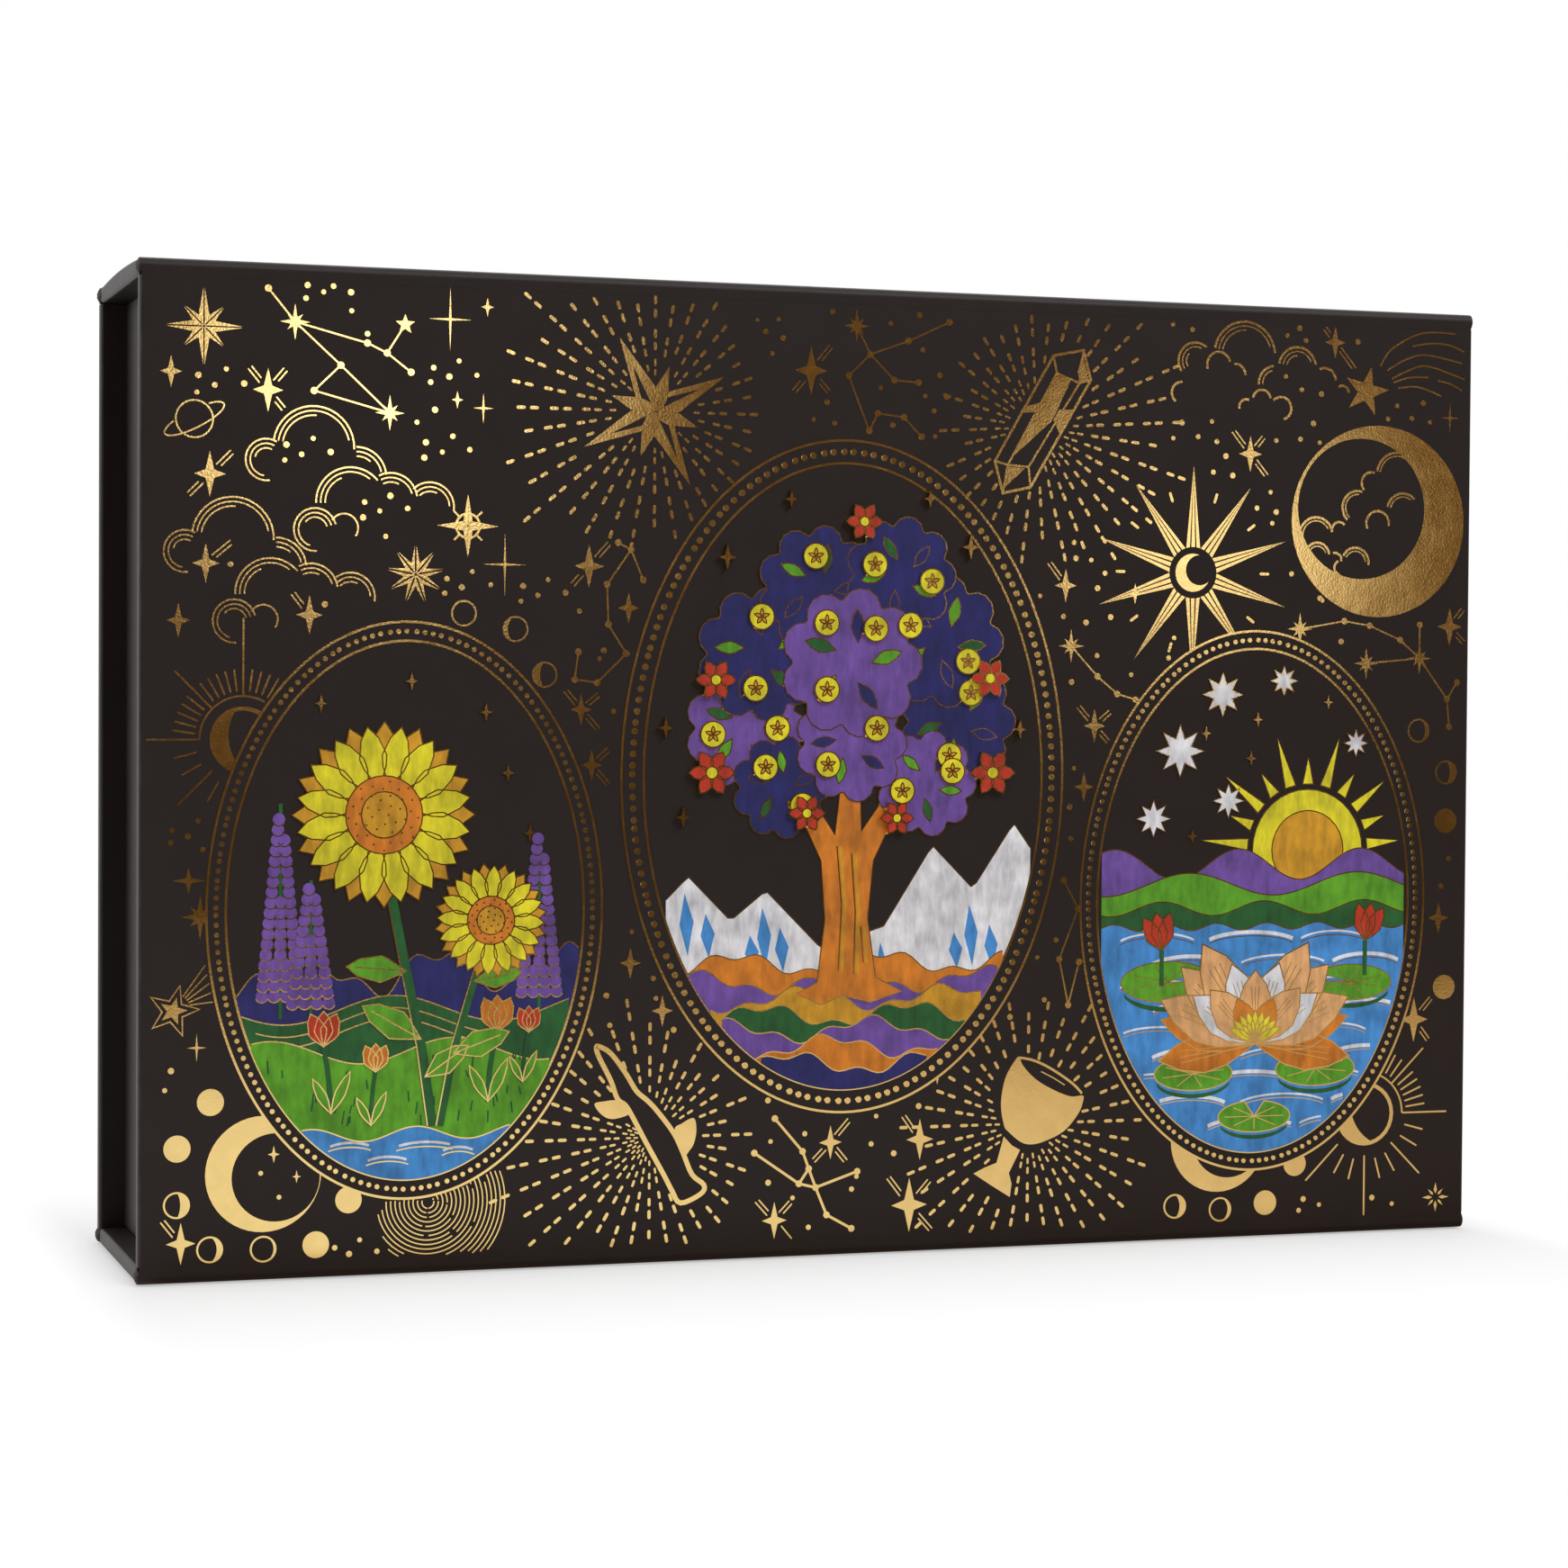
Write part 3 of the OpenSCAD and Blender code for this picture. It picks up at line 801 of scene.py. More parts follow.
class FlatWork:
    """Collects thin closed plates on one flat face that looks towards -Y."""

    def __init__(self, face_y, slope):
        self.face_y = face_y / MM
        self.slope = slope
        self.plates = 0
        self.verts, self.faces, self.inks = [], [], []

    def plate(self, points, faces, top, ink=0, room=None, slope=None):
        """A plate with sloped sides; faces run anticlockwise as seen from the front. room is the
        widest slope that each point has space for. Plates that are drawn one after another get
        slightly different heights, so none share a surface."""
        self.plates += 1
        top += self.plates % PLATE_STEPS * PLATE_STEP
        rim = {}
        for face in faces:
            for a, b in zip(face, face[1:] + face[:1]):
                if (b, a) in rim:
                    del rim[(b, a)]
                else:
                    rim[(a, b)] = True
        pull = [Vector((0.0, 0.0)) for _ in points]
        for a, b in rim:
            along = Vector(points[b]) - Vector(points[a])
            if along.length > 1e-9:
                inward = Vector((-along.y, along.x)).normalized()
                pull[a] += inward
                pull[b] += inward
        first, count = len(self.verts), len(points)
        self.verts += [(x * MM, (self.face_y + SINK) * MM, z * MM) for x, z in points]
        for i, ((x, z), inward) in enumerate(zip(points, pull)):
            step = Vector((0.0, 0.0))
            if inward.length > 1e-6:
                reach = min(2 / inward.length, 2.5) * (slope or self.slope)
                step = inward.normalized() * min(reach, room[i] if room else reach)
            self.verts.append(((x + step.x) * MM, (self.face_y - top) * MM, (z + step.y) * MM))
        for face in faces:
            self.faces.append([first + count + i for i in face])
            self.faces.append([first + i for i in reversed(face)])
        for a, b in rim:
            self.faces.append([first + a, first + b, first + count + b, first + count + a])
        self.inks += [ink] * (2 * len(faces) + len(rim))

    def fill(self, outline, top, ink=0, slope=None):
        """A filled shape; near its sharp tips the slope is only as wide as the tip allows."""
        area = sum(a[0] * b[1] - b[0] * a[1] for a, b in zip(outline, outline[1:] + outline[:1]))
        points = list(outline) if area > 0 else list(reversed(outline))
        count, room = len(points), []
        for i, point in enumerate(points):
            apart = (j for j in range(count) if 1 < (j - i) % count < count - 1)
            room.append(0.3 * min((math.dist(point, points[j]) for j in apart), default=1.0))
        self.plate(points, [list(range(count))], top, ink, room, slope)

    def between(self, right, left, top, ink=0, closed=False):
        """A filled strip between two paths that run the same way, point by point."""
        count = len(right)
        room = [0.3 * math.dist(a, b) for a, b in zip(right, left)]
        pairs = [(i, (i + 1) % count) for i in range(count if closed else count - 1)]
        faces = [[i, j, count + j, count + i] for i, j in pairs]
        self.plate(list(right) + list(left), faces, top, ink, room + room)

    def eclipse(self, x, z, radius, hole, shift, facing, top):
        """A moon: a disc with a round hole that is moved off its middle, towards facing in degrees."""
        self.between(circle(x, z, radius, 48), circle(*polar(x, z, shift, facing), hole, 48), top,
                     closed=True)

    def line(self, path, width, top, closed=False, ink=0):
        """A drawn line of even width along a path."""
        points = [Vector(p) for p in path]
        count = len(points)
        left, right = [], []
        for i, point in enumerate(points):
            before = points[i - 1] if closed or i else point
            after = points[(i + 1) % count] if closed or i + 1 < count else point
            ahead, behind = (after - point).normalized(), (point - before).normalized()
            along = ahead + behind
            along = along.normalized() if along.length > 1e-6 else ahead
            side = Vector((-along.y, along.x))
            bend = max(abs(along.dot(ahead if ahead.length else behind)), 0.5)
            left.append(point + side * width / 2 / bend)
            right.append(point - side * width / 2 / bend)
        faces = []
        for i in range(count if closed else count - 1):
            j = (i + 1) % count
            faces.append([count + i, count + j, j, i])
        self.plate([tuple(p) for p in left + right], faces, top, ink)

    def dash(self, start, end, width, top):
        """A short line with round ends."""
        heading = math.degrees(math.atan2(end[1] - start[1], end[0] - start[0]))
        half = width / 2
        outline = arc(*end, half, heading - 90, heading + 90, 4)
        self.fill(outline + arc(*start, half, heading + 90, heading + 270, 4), top)

    def piece(self, name, materials, slot, body):
        mesh = mesh_from(name, self.verts, self.faces)
        mesh.polygons.foreach_set("material_index", self.inks)
        add_piece(name, mesh, materials, body)


class Oval:
    """An upright oval on the cover, in millimetres; rim is the width of its beaded frame."""

    def __init__(self, x, z, across, tall, rim=2.5):
        self.x, self.z, self.across, self.tall, self.rim = x, z, across, tall, rim

    def shrunk(self, margin):
        return Oval(self.x, self.z, self.across - margin, self.tall - margin)

    def outline(self, steps=96):
        return circle(self.x, self.z, self.across, steps, self.tall)

    def holds(self, x, z):
        return ((x - self.x) / self.across) ** 2 + ((z - self.z) / self.tall) ** 2 < 1

    def half_height(self, x):
        return self.tall * math.sqrt(max(0.0, 1 - ((x - self.x) / self.across) ** 2))

    def low(self, x):
        return self.z - self.half_height(x)

    def high(self, x):
        return self.z + self.half_height(x)


LEFT_OVAL = Oval(-60.4, 47.9, 26.4, 37.9)
MIDDLE_OVAL = Oval(0.4, 65.4, 31.8, 45.8, 3.1)
RIGHT_OVAL = Oval(61.8, 47.8, 26.7, 38.2)
OVALS = (LEFT_OVAL, MIDDLE_OVAL, RIGHT_OVAL)
COVER_MARGIN = 0.08


def on_cover(x, z):
    """True where the printed lid is bare: inside its margin and outside the ovals."""
    inside = abs(x) < LID[1].x / MM - COVER_MARGIN
    inside = inside and LID[0].z / MM + COVER_MARGIN < z < LID[1].z / MM - COVER_MARGIN
    return inside and not any(oval.holds(x, z) for oval in OVALS)


def curved(points, closed=True, steps=4):
    """A path drawn smoothly through a few points."""
    count, smooth = len(points), []
    for i in range(count if closed else count - 1):
        four = [(i + k) % count if closed else min(max(i + k, 0), count - 1) for k in (-1, 0, 1, 2)]
        a, b, c, d = (Vector(points[k]) for k in four)
        for step in range(steps):
            t = step / steps
            bend = (2 * a - 5 * b + 4 * c - d) * t * t + (3 * b - a - 3 * c + d) * t ** 3
            smooth.append(tuple((2 * b + (c - a) * t + bend) / 2))
    return smooth if closed else smooth + [tuple(points[-1])]


def star_outline(x, z, points, outer, inner, turn=90.0):
    """A plain star with straight sides."""
    step = 180 / points
    return [polar(x, z, inner if i % 2 else outer, turn + i * step) for i in range(2 * points)]


def needle_outline(x, z, tall, wide, heart):
    """A four-point star with needle arms; heart is its width across the inner corners."""
    reach = (wide, tall, wide, tall)
    points = []
    for i in range(4):
        points.append(polar(x, z, reach[i], 90 * i))
        points.append(polar(x, z, heart, 90 * i + 45))
    return points


def crescent_outline(x, z, radius, inner, shift, facing, steps=32):
    """A crescent: a disc less a smaller disc that is shifted towards facing, in degrees."""
    along = (radius ** 2 - inner ** 2 + shift ** 2) / (2 * shift)
    outer_half = math.degrees(math.acos(max(-1.0, min(1.0, along / radius))))
    inner_half = math.degrees(math.acos(max(-1.0, min(1.0, (along - shift) / inner))))
    cx, cz = polar(x, z, shift, facing)
    back = arc(x, z, radius, facing + outer_half, facing + 360 - outer_half, steps)
    hollow = arc(cx, cz, inner, facing + 360 - inner_half, facing + inner_half, steps)
    return back + hollow[1:-1]


# How far the rays of a burst stay clear of its figure, to each side
CLEARANCE = ((0.4, 0), (-0.4, 0), (0, 0.4), (0, -0.4))


class CoverArt:
    """The foil ornament of the cover, one drawing for each kind of figure."""

    def __init__(self):
        foil = bpy.context.scene.tarot_foil
        self.top = foil.thickness / MM
        self.width = foil.line / MM
        self.slope = foil.slope / MM
        self.start()

    def start(self):
        self.work = FlatWork(COVER_Y, self.slope)

    def finish(self, name):
        """Makes the piece that was drawn, and starts on the next one."""
        self.work.piece(name, ["gold_foil"], "gold_foil", "lid")
        self.start()

    def fill(self, outline):
        self.work.fill(outline, self.top)

    def line(self, path, width=None, closed=False):
        self.work.line(path, width or self.width, self.top, closed)

    def dot(self, x, z, radius=0.4):
        if on_cover(x, z):
            self.fill(circle(x, z, radius, 10))

    def dots(self, x, z, size=1.0, turn=0.0):
        """A loose group of five dots."""
        spots = ((-2.6, 1.4, 0.34), (0.2, 2.2, 0.42), (-0.6, -0.6, 0.42), (2.6, 0.6, 0.34),
                 (-2.2, -2.0, 0.30))
        for (px, pz), (_, _, radius) in zip(placed([s[:2] for s in spots], x, z, turn, size), spots):
            self.dot(px, pz, radius)

    def clipped(self, path, width=None):
        """A line that is left out where the cover is not bare."""
        run = []
        for point in [*path, (0, 65)]:
            if on_cover(*point):
                run.append(point)
                continue
            if len(run) > 2:
                self.line(run, width)
            run = []

    def dash(self, start, end, width=None):
        if on_cover(*start) and on_cover(*end):
            self.work.dash(start, end, width or self.width, self.top)

    def twinkle(self, x, z, tall):
        self.fill(needle_outline(x, z, tall, tall * 0.7, tall * 0.27))

    def bright_star(self, x, z, size=1.0):
        self.fill(needle_outline(x, z, 2.4 * size, 2.0 * size, 0.5 * size))
        self.fill(placed(needle_outline(0, 0, 1.5, 1.5, 0.45), x, z, 45, size))

    def eclipse(self, *moon):
        self.work.eclipse(*moon, self.top)

    def phase(self, x, z, radius, dark, facing, width=0.3):
        """A ring with a filled crescent; the dark part reaches past the middle by dark of the radius."""
        inner = radius * (1 + dark * dark) / (2 * dark)
        self.ring(x, z, radius - width / 2, width)
        self.fill(crescent_outline(x, z, radius - width / 2, inner, inner - dark * radius, facing))

    def sparkle(self, x, z, tall, trails=()):
        """A four-point star with pairs of short trails; a trail is its angle and its length."""
        self.twinkle(x, z, tall)
        for angle, reach in trails:
            side = polar(0, 0, 0.28, angle + 90)
            for way, near_end, far_end in ((1, 0.50, 1.0), (-1, 0.62, 0.82)):
                start = polar(x + way * side[0], z + way * side[1], tall * near_end, angle)
                end = polar(x + way * side[0], z + way * side[1], tall * near_end + reach * far_end, angle)
                self.dash(start, end, 0.25)

    def faceted_star(self, x, z, tips, inner, gap=0.16, hollow=99):
        """A star cut like a gem: each tip is two slim halves, gap apart, and a dark wedge is cut from
        one half of a tip longer than hollow."""
        count = len(tips)
        for i, (angle, reach) in enumerate(tips):
            for way in (-1, 1):
                beside = tips[(i + way) % count][1]
                corner = angle + way * 360 / count * reach / (reach + beside)
                shift = polar(0, 0, gap / 2, angle + 90 * way)
                heart = (x + shift[0], z + shift[1])
                half = [(0, 0), (inner, corner), (reach, angle)]
                if way > 0 and reach > hollow:
                    half += [(0.62 * reach, angle), (0.8 * inner, angle + 20), (0.4 * inner, angle)]
                self.fill([polar(*heart, *point) for point in half])

    def ring(self, x, z, radius, width=None):
        self.line(circle(x, z, radius, 28), width, closed=True)

    def burst(self, x, z, reach, lean, towards, figures, turn=0.0):
        """Rays of dashes in pairs round a figure, left out where it is; they lean towards one side."""
        for i in range(36):
            angle = turn + 10 * i
            end = reach + lean * math.cos(math.radians(angle - towards))
            end *= (1.0, 0.9, 1.06, 0.86)[i % 4]
            radius, count = 1.7 + 0.5 * (i % 2), 0
            while radius < end:
                size = min(1.0, 0.45 + 0.055 * radius)
                path = [polar(x, z, radius + size * t, angle) for t in (0, 0.4, 0.8)]
                around = [(px + dx, pz + dz) for px, pz in path for dx, dz in CLEARANCE]
                if not any(inside_outline(p, figure) for p in around for figure in figures):
                    self.dash(path[0], path[-1], 0.5 * size)
                count += 1
                radius += size * (1.8 if count % 2 else 2.7)

    def cloud(self, arcs, x=0.0, z=0.0, lines=3, inset=0.6, bold=1.3):
        """Banks of cloud drawn as arcs, with shorter lines inside the wider ones."""
        for dx, dz, radius, start, end in arcs:
            for k in range(lines):
                last = start + (end - start) * (1.0, 0.92, 0.5)[k]
                if k == 0 or radius - inset * k > 1.3:
                    path = arc(x + dx, z + dz, radius - inset * k, start, last, 18)
                    self.clipped(path, self.width * (bold if k == 0 else 0.8))

    def constellation(self, stars, chains, bright=(), width=0.28):
        """Stars joined by lines; a chain gives the stars that its lines run through."""
        for chain in chains:
            for a, b in zip(chain, chain[1:]):
                self.line([stars[a], stars[b]], width)
        for i, (x, z) in enumerate(stars):
            if i in bright:
                self.bright_star(x, z)
            else:
                self.fill(circle(x, z, 0.5, 12))

    def half_sun(self, x, z, radius, flip, facing):
        """A crescent under an arc: close rays above, loose rays below and long rays between."""
        def spot(reach, degrees):
            px, pz = polar(0, 0, reach * radius, degrees)
            return x + flip * px, z + pz

        self.phase(x, z, radius * 0.74, 0.42, facing, 0.6)
        self.clipped([spot(0.96, 3 * i) for i in range(41)])
        long_rays = {0: 2.1, 45: 2.1, 90: 2.65, -45: 2.0, -90: 2.34, -135: 2.1}
        for angle in [7.5 * i for i in range(17)] + [-15 * i for i in range(1, 10)]:
            first = 0.98 if angle in long_rays else 1.08
            self.dash(spot(first, angle), spot(long_rays.get(angle, 1.54), angle))


def inside_outline(point, outline):
    """True if a point lies inside a closed outline."""
    x, z = point
    inside = False
    for (ax, az), (bx, bz) in zip(outline, outline[1:] + outline[:1]):
        if (az > z) != (bz > z) and x < ax + (bx - ax) * (z - az) / (bz - az):
            inside = not inside
    return inside


def chalice_parts(x, z):
    """A footed cup that leans over: its bowl, its foot and the open mouth."""
    bowl = [(-1.3, 9.3), (-0.9, 8.3), (0.35, 6.85), (2.05, 5.55), (4.5, 4.3), (6.55, 3.6), (8.2, 3.7),
            (8.3, 2.9), (7.6, 1.15), (5.5, -1.2), (2.75, -2.5), (0.7, -2.95), (-1.0, -2.6), (-3.0, -1.0),
            (-3.6, -0.1), (-4.07, 2.85), (-3.45, 6.4), (-1.9, 9.0)]
    foot = [(-3.6, -1.65), (-2.35, -2.95), (-1.1, -3.65), (-2.75, -6.8), (-2.35, -8.3), (-2.6, -10.2),
            (-5.35, -8.5), (-8.1, -6.7), (-6.4, -5.9), (-4.65, -5.3)]
    mouth = [(-1.3, 9.2), (0.35, 8.9), (2.4, 8.1), (4.8, 6.7), (6.9, 5.2), (8.1, 3.95)]
    return placed(curved(bowl), x, z), placed(foot, x, z), placed(mouth, x, z)


def wand_parts(x, z):
    """A cut branch with two leaves."""
    stick = [(-7.05, 12.4), (-5.4, 11.4), (-3.35, 8.7), (-1.85, 6.3), (-0.35, 5.0), (1.0, 3.6), (3.35, 0.55),
             (4.7, -2.2), (6.0, -5.2), (7.7, -6.7), (7.2, -7.9), (4.4, -9.0), (3.2, -7.3), (2.0, -5.05),
             (-0.35, -0.9), (-2.35, 2.8), (-3.35, 4.4), (-4.5, 5.35), (-5.4, 7.75), (-7.05, 10.95),
             (-7.45, 12.2)]
    left = [(-7.7, 4.7), (-6.4, 5.05), (-4.4, 5.1), (-2.7, 3.9), (-3.0, 3.1), (-5.2, 2.6), (-6.7, 3.25)]
    right = [(3.5, 0.85), (4.5, 1.75), (6.2, 2.45), (6.6, 0.85), (6.3, -0.9), (5.7, -1.9), (4.75, -2.55)]
    return [placed(curved(part), x, z) for part in (stick, left, right)]


def crystal_parts():
    """A long crystal: its outline, its edges and its bright facets."""
    a, b, c = (30.4, 123.8), (34.9, 124.7), (36.0, 120.6)
    d, e, f = (27.1, 105.5), (23.0, 104.6), (21.8, 109.0)
    p, q, r, s = (30.9, 121.4), (34.3, 120.1), (26.8, 108.3), (23.7, 108.5)
    edges = [[p, s], [q, r], [a, p, q, c], [f, s, r, d], [q, b], [s, e]]
    middle = [p, (33.1, 120.6), (31.6, 117.5), (31.0, 116.2), (30.2, 114.7), (27.8, 112.6), (24.6, 109.8)]
    facets = [
        middle, [(31.3, 116.4), (33.4, 116.4), (31.4, 112.9), (30.4, 114.9)],
        [(26.2, 116.6), (28.6, 117.3), (27.8, 115.9), (25.7, 115.7)],
        [(34.0, 121.6), (34.7, 124.3), (35.7, 120.7), (34.4, 120.1)],
        [(23.7, 108.3), (26.3, 108.1), (23.2, 105.3)],
    ]
    return [a, b, c, d, e, f], edges, facets


class TAROT_OT_bursts(Operator):
    """Stamps the four dashed bursts and the figures inside them"""
    bl_idname = "tarot_box.bursts"
    bl_label = "Foil bursts"

    def execute(self, context):
        art = CoverArt()
        tips = [(27 + 45 * i, 6.4 if i % 2 else 11.0) for i in range(8)]
        art.faceted_star(-27, 114.3, tips, 3.3, 0.0, 8)
        star = []
        for angle, reach in tips:
            star += [polar(-27, 114.3, reach + 1.0, angle), polar(-27, 114.3, 3.6, angle + 22.5)]
        art.burst(-27, 114.3, 18.5, 3.6, 180, [star, circle(-50.5, 114, 3.6)])

        outline, edges, facets = crystal_parts()
        art.line(outline, 0.42, closed=True)
        for edge in edges:
            art.line(edge, 0.34)
        for facet in facets:
            art.fill(facet)
        art.burst(28, 113.8, 18, 4, 0, [outline], 3.5)

        stick, left, right = wand_parts(-27.2, 17)
        art.line(stick, 0.72, closed=True)
        art.fill(left)
        art.fill(right)
        art.burst(-27.2, 17, 18.5, 5.5, 205, [stick, left, right])

        bowl, foot, mouth = chalice_parts(27.5, 17.2)
        art.fill(bowl)
        art.fill(foot)
        art.line(curved(mouth, False), 0.4)
        art.line([(29.4, 24.4), (31.2, 23.5), (33, 22.4)], 0.22)
        art.burst(27.5, 17.2, 19, 1.5, -90, [bowl, foot, mouth + bowl[20:0:-4]])
        art.finish("foil_bursts")
        return {"FINISHED"}


# Sparkles: place, height and trails, each trail an angle and a length
SPARKLES = (
    (-79, 115.5, 2.9, ((130, 2.2), (50, 2.0), (-50, 1.6))), (-86.5, 104.5, 3.0, ((45, 2.5), (225, 2.3))),
    (-87, 93, 2.6, ((40, 3.0),)), (-5, 120.5, 3.4, ((50, 2.6), (230, 2.0), (-48, 2.0))),
    (-36, 93.5, 3.0, ((48, 2.6), (228, 1.8))), (73.6, 127.2, 2.4, ((-50, 3.6), (130, 1.2))),
    (60.5, 111, 2.6, ((130, 2.8), (50, 1.8), (-50, 2.6))), (32.5, 92, 2.4, ((128, 2.8),)),
    (92.3, 87, 2.9, ((50, 1.8), (-45, 1.6))), (37, 72.5, 2.4, ((132, 2.4), (40, 1.8), (-46, 1.8))),
    (-90, 5.2, 2.8, ((128, 2.4),)), (-9.5, 5.1, 2.6, ((132, 2.4), (46, 2.0), (-50, 2.2))),
    (-1.5, 15.5, 2.4, ((48, 2.8), (225, 2.2), (-50, 2.2))), (11.5, 15.5, 2.9, ((126, 2.6),)),
    (10, 6.5, 3.8, ((128, 3.0), (48, 2.4), (226, 4.6), (-48, 2.8))),
    (87.2, 30.4, 3.3, ((48, 2.4), (-52, 2.0))), (-73.5, 86.5, 2.6, ((128, 2.2),)),
    (-37, 74.4, 2.2, ((130, 2.2), (40, 2.0), (-48, 2.4))), (-35.5, 67, 2.2, ((42, 2.0), (-48, 2.4))),
    (14, 24.5, 1.6, ()), (-14, 27, 1.4, ()), (43, 91, 1.5, ()),
)

# Single dots of the cover
DOTS = (
    (-73.9, 129.2), (-71.8, 128.4), (-70.5, 129.2), (-68.2, 128.5), (-68.1, 126.1), (-74.1, 127.5),
    (-88, 117.1), (-84.4, 118), (-85.9, 115.9), (-82.1, 116.2), (-88.2, 114.9), (-66, 123.2), (-76.6, 108.5),
    (-73.1, 109.4), (-74.6, 107.3), (-70.8, 107.7), (-76.8, 106.5), (-66.3, 101.3), (-62.9, 102.2),
    (-64.3, 100.2), (-60.6, 100.6), (-66.5, 99.3), (-63.5, 96.9), (-83.8, 92.9), (-71.5, 87.9),
    (-53.8, 120.1), (-57.2, 119.1), (-55.1, 118), (-51.4, 118.3), (-57.6, 117.2), (-57, 113.6),
    (-59.4, 111.9), (-54.6, 110.2), (-58.2, 109.3), (-56, 108.1), (-52.3, 108.5), (-58.4, 107.3),
    (-51.9, 92.5), (-55.3, 91.5), (-53.3, 90.4), (-49.4, 90.8), (-55.6, 89.6), (-45, 90.7), (-41.6, 91.6),
    (-43, 89.5), (-39.2, 89.9), (-45.3, 88.7), (-37.3, 87.5), (-33.9, 82.3), (-34.5, 81.2), (-32.5, 74.2),
    (13.6, 120.5), (11.5, 117.6), (12.8, 115.6), (14.6, 117.6), (5, 118.5), (11.1, 123.9), (10.6, 128.6),
    (6.4, 127.3), (-2, 128.6), (-2.7, 116.3), (-4.6, 113.9), (-1.6, 113.5), (6.8, 113.5), (13, 112.1),
    (33.7, 98), (34, 95.8), (36.3, 95.6), (38.4, 93.8), (37.3, 91.7), (28.7, 90.5), (32.2, 87.7),
    (35.6, 86.9), (54.5, 115.4), (52.4, 113.2), (49.9, 115.1), (48.6, 112.9), (55.3, 112.6), (56.7, 110.6),
    (64.5, 113), (68.3, 113.3), (70.3, 115.6), (71.3, 112.9), (54.8, 108.3), (57.8, 107.9), (63.7, 105.7),
    (61.6, 103.4), (64.6, 102.9), (64, 101.3), (67.1, 94.2), (71.6, 90.8), (48.4, 128.8), (51.4, 128.2),
    (68, 129), (66.1, 127.9), (69, 127.3), (77.2, 127.4), (65.9, 122.1), (68.4, 120.3), (71.5, 119.8),
    (83.5, 118.5), (85.9, 116.8), (87.7, 119), (88.8, 116.3), (82.1, 116.6), (39.3, 87.7), (49, 84.9),
    (37.3, 82.3), (33.5, 78.6), (42.5, 79.7), (48.2, 82.1), (75, 84.7), (72, 90.5), (92.6, 53.6),
    (91.4, 49.6), (34, 66.6), (33.6, 56.8), (33.4, 61.2), (-91.2, 58.6), (-91.4, 57), (-89.2, 57.8),
    (-87.9, 59.8), (-87.3, 56.1), (-91.3, 27.6), (-92.1, 25.1), (-69.9, 3.9), (-68, 3), (-66.6, 4.8),
    (-64.3, 3.2), (-10.5, 21.5), (-10.1, 15.9), (-5.2, 16.8), (-10.4, 10.3), (-6.9, 8.1), (-4.6, 4),
    (11.3, 20.1), (5.1, 18.9), (4.4, 15.1), (7.7, 13.7), (2.3, 10.7), (1.6, 9), (69.9, 5.1), (72.4, 4.2),
    (69.2, 3.5), (80.8, 4.9), (84, 3.9), (-26.8, 38.4), (-33.3, 36.2), (-26.4, 35.7), (-32.8, 32.2),
    (-23.9, 31.4), (-29.8, 44.7), (29.8, 34.4), (24.7, 32.1), (28.7, 40.3), (31.5, 42.7),
)


class TAROT_OT_stars(Operator):
    """Stamps the loose stars, sparkles and dots"""
    bl_idname = "tarot_box.stars"
    bl_label = "Foil stars"

    def execute(self, context):
        art = CoverArt()
        art.faceted_star(-87.3, 123.4, [(90 + 45 * i, 5.0 if i % 2 == 0 else 3.6) for i in range(8)], 1.5)
        art.faceted_star(-59.5, 92, [(90 + 40 * i, 3.8) for i in range(9)], 1.4, 0.22)
        for i in range(8):
            reach = (2.2, 1.75)[i % 2]
            petal = ((0.45, 0), (reach * 0.5, -15), (reach, 0), (reach * 0.5, 15))
            art.fill([polar(91, 4.6, out, 45 * i + lean) for out, lean in petal])
        art.faceted_star(-52.5, 98.5, [(90 + 90 * i, 4.2) for i in range(4)], 0.9, 0.0)
        art.ring(-52.5, 98.5, 1.6, 0.35)
        for i in range(4):
            art.line([polar(-52.5, 98.5, 1.6, 45 + 90 * i), polar(-52.5, 98.5, 2.7, 45 + 90 * i)])
        thin = ((-55, 125.5, 4.2), (-47.5, 93.5, 4.4), (-88, 30.5, 1.9), (92, 117, 2.2), (-50.5, 114, 2.1))
        for x, z, tall in thin:
            art.fill(needle_outline(x, z, tall, tall * 0.7, 0.26))
        small = ((-91.5, 117.5, 2.1), (-50, 127.3, 1.3), (-54, 115, 1.2), (-30.5, 88, 2.2), (-30, 40.5, 2.2),
                 (-25.5, 34, 2.2), (-90.5, 85.6, 2.3), (91, 45, 2.4), (35.5, 64, 2.2))
        for x, z, tall in small:
            art.twinkle(x, z, tall)
        art.fill(needle_outline(-89.1, 52.1, 1.9, 2.2, 0.5))
        art.bright_star(-87.6, 47.4, 1.25)
        for x, z, tall, trails in SPARKLES:
            art.sparkle(x, z, tall, trails)
        art.dots(-11, 125, 0.9, 268)
        for i, (x, z) in enumerate(DOTS):
            art.dot(x, z, (0.45, 0.36, 0.40)[i % 3])
        art.finish("foil_stars")
        return {"FINISHED"}


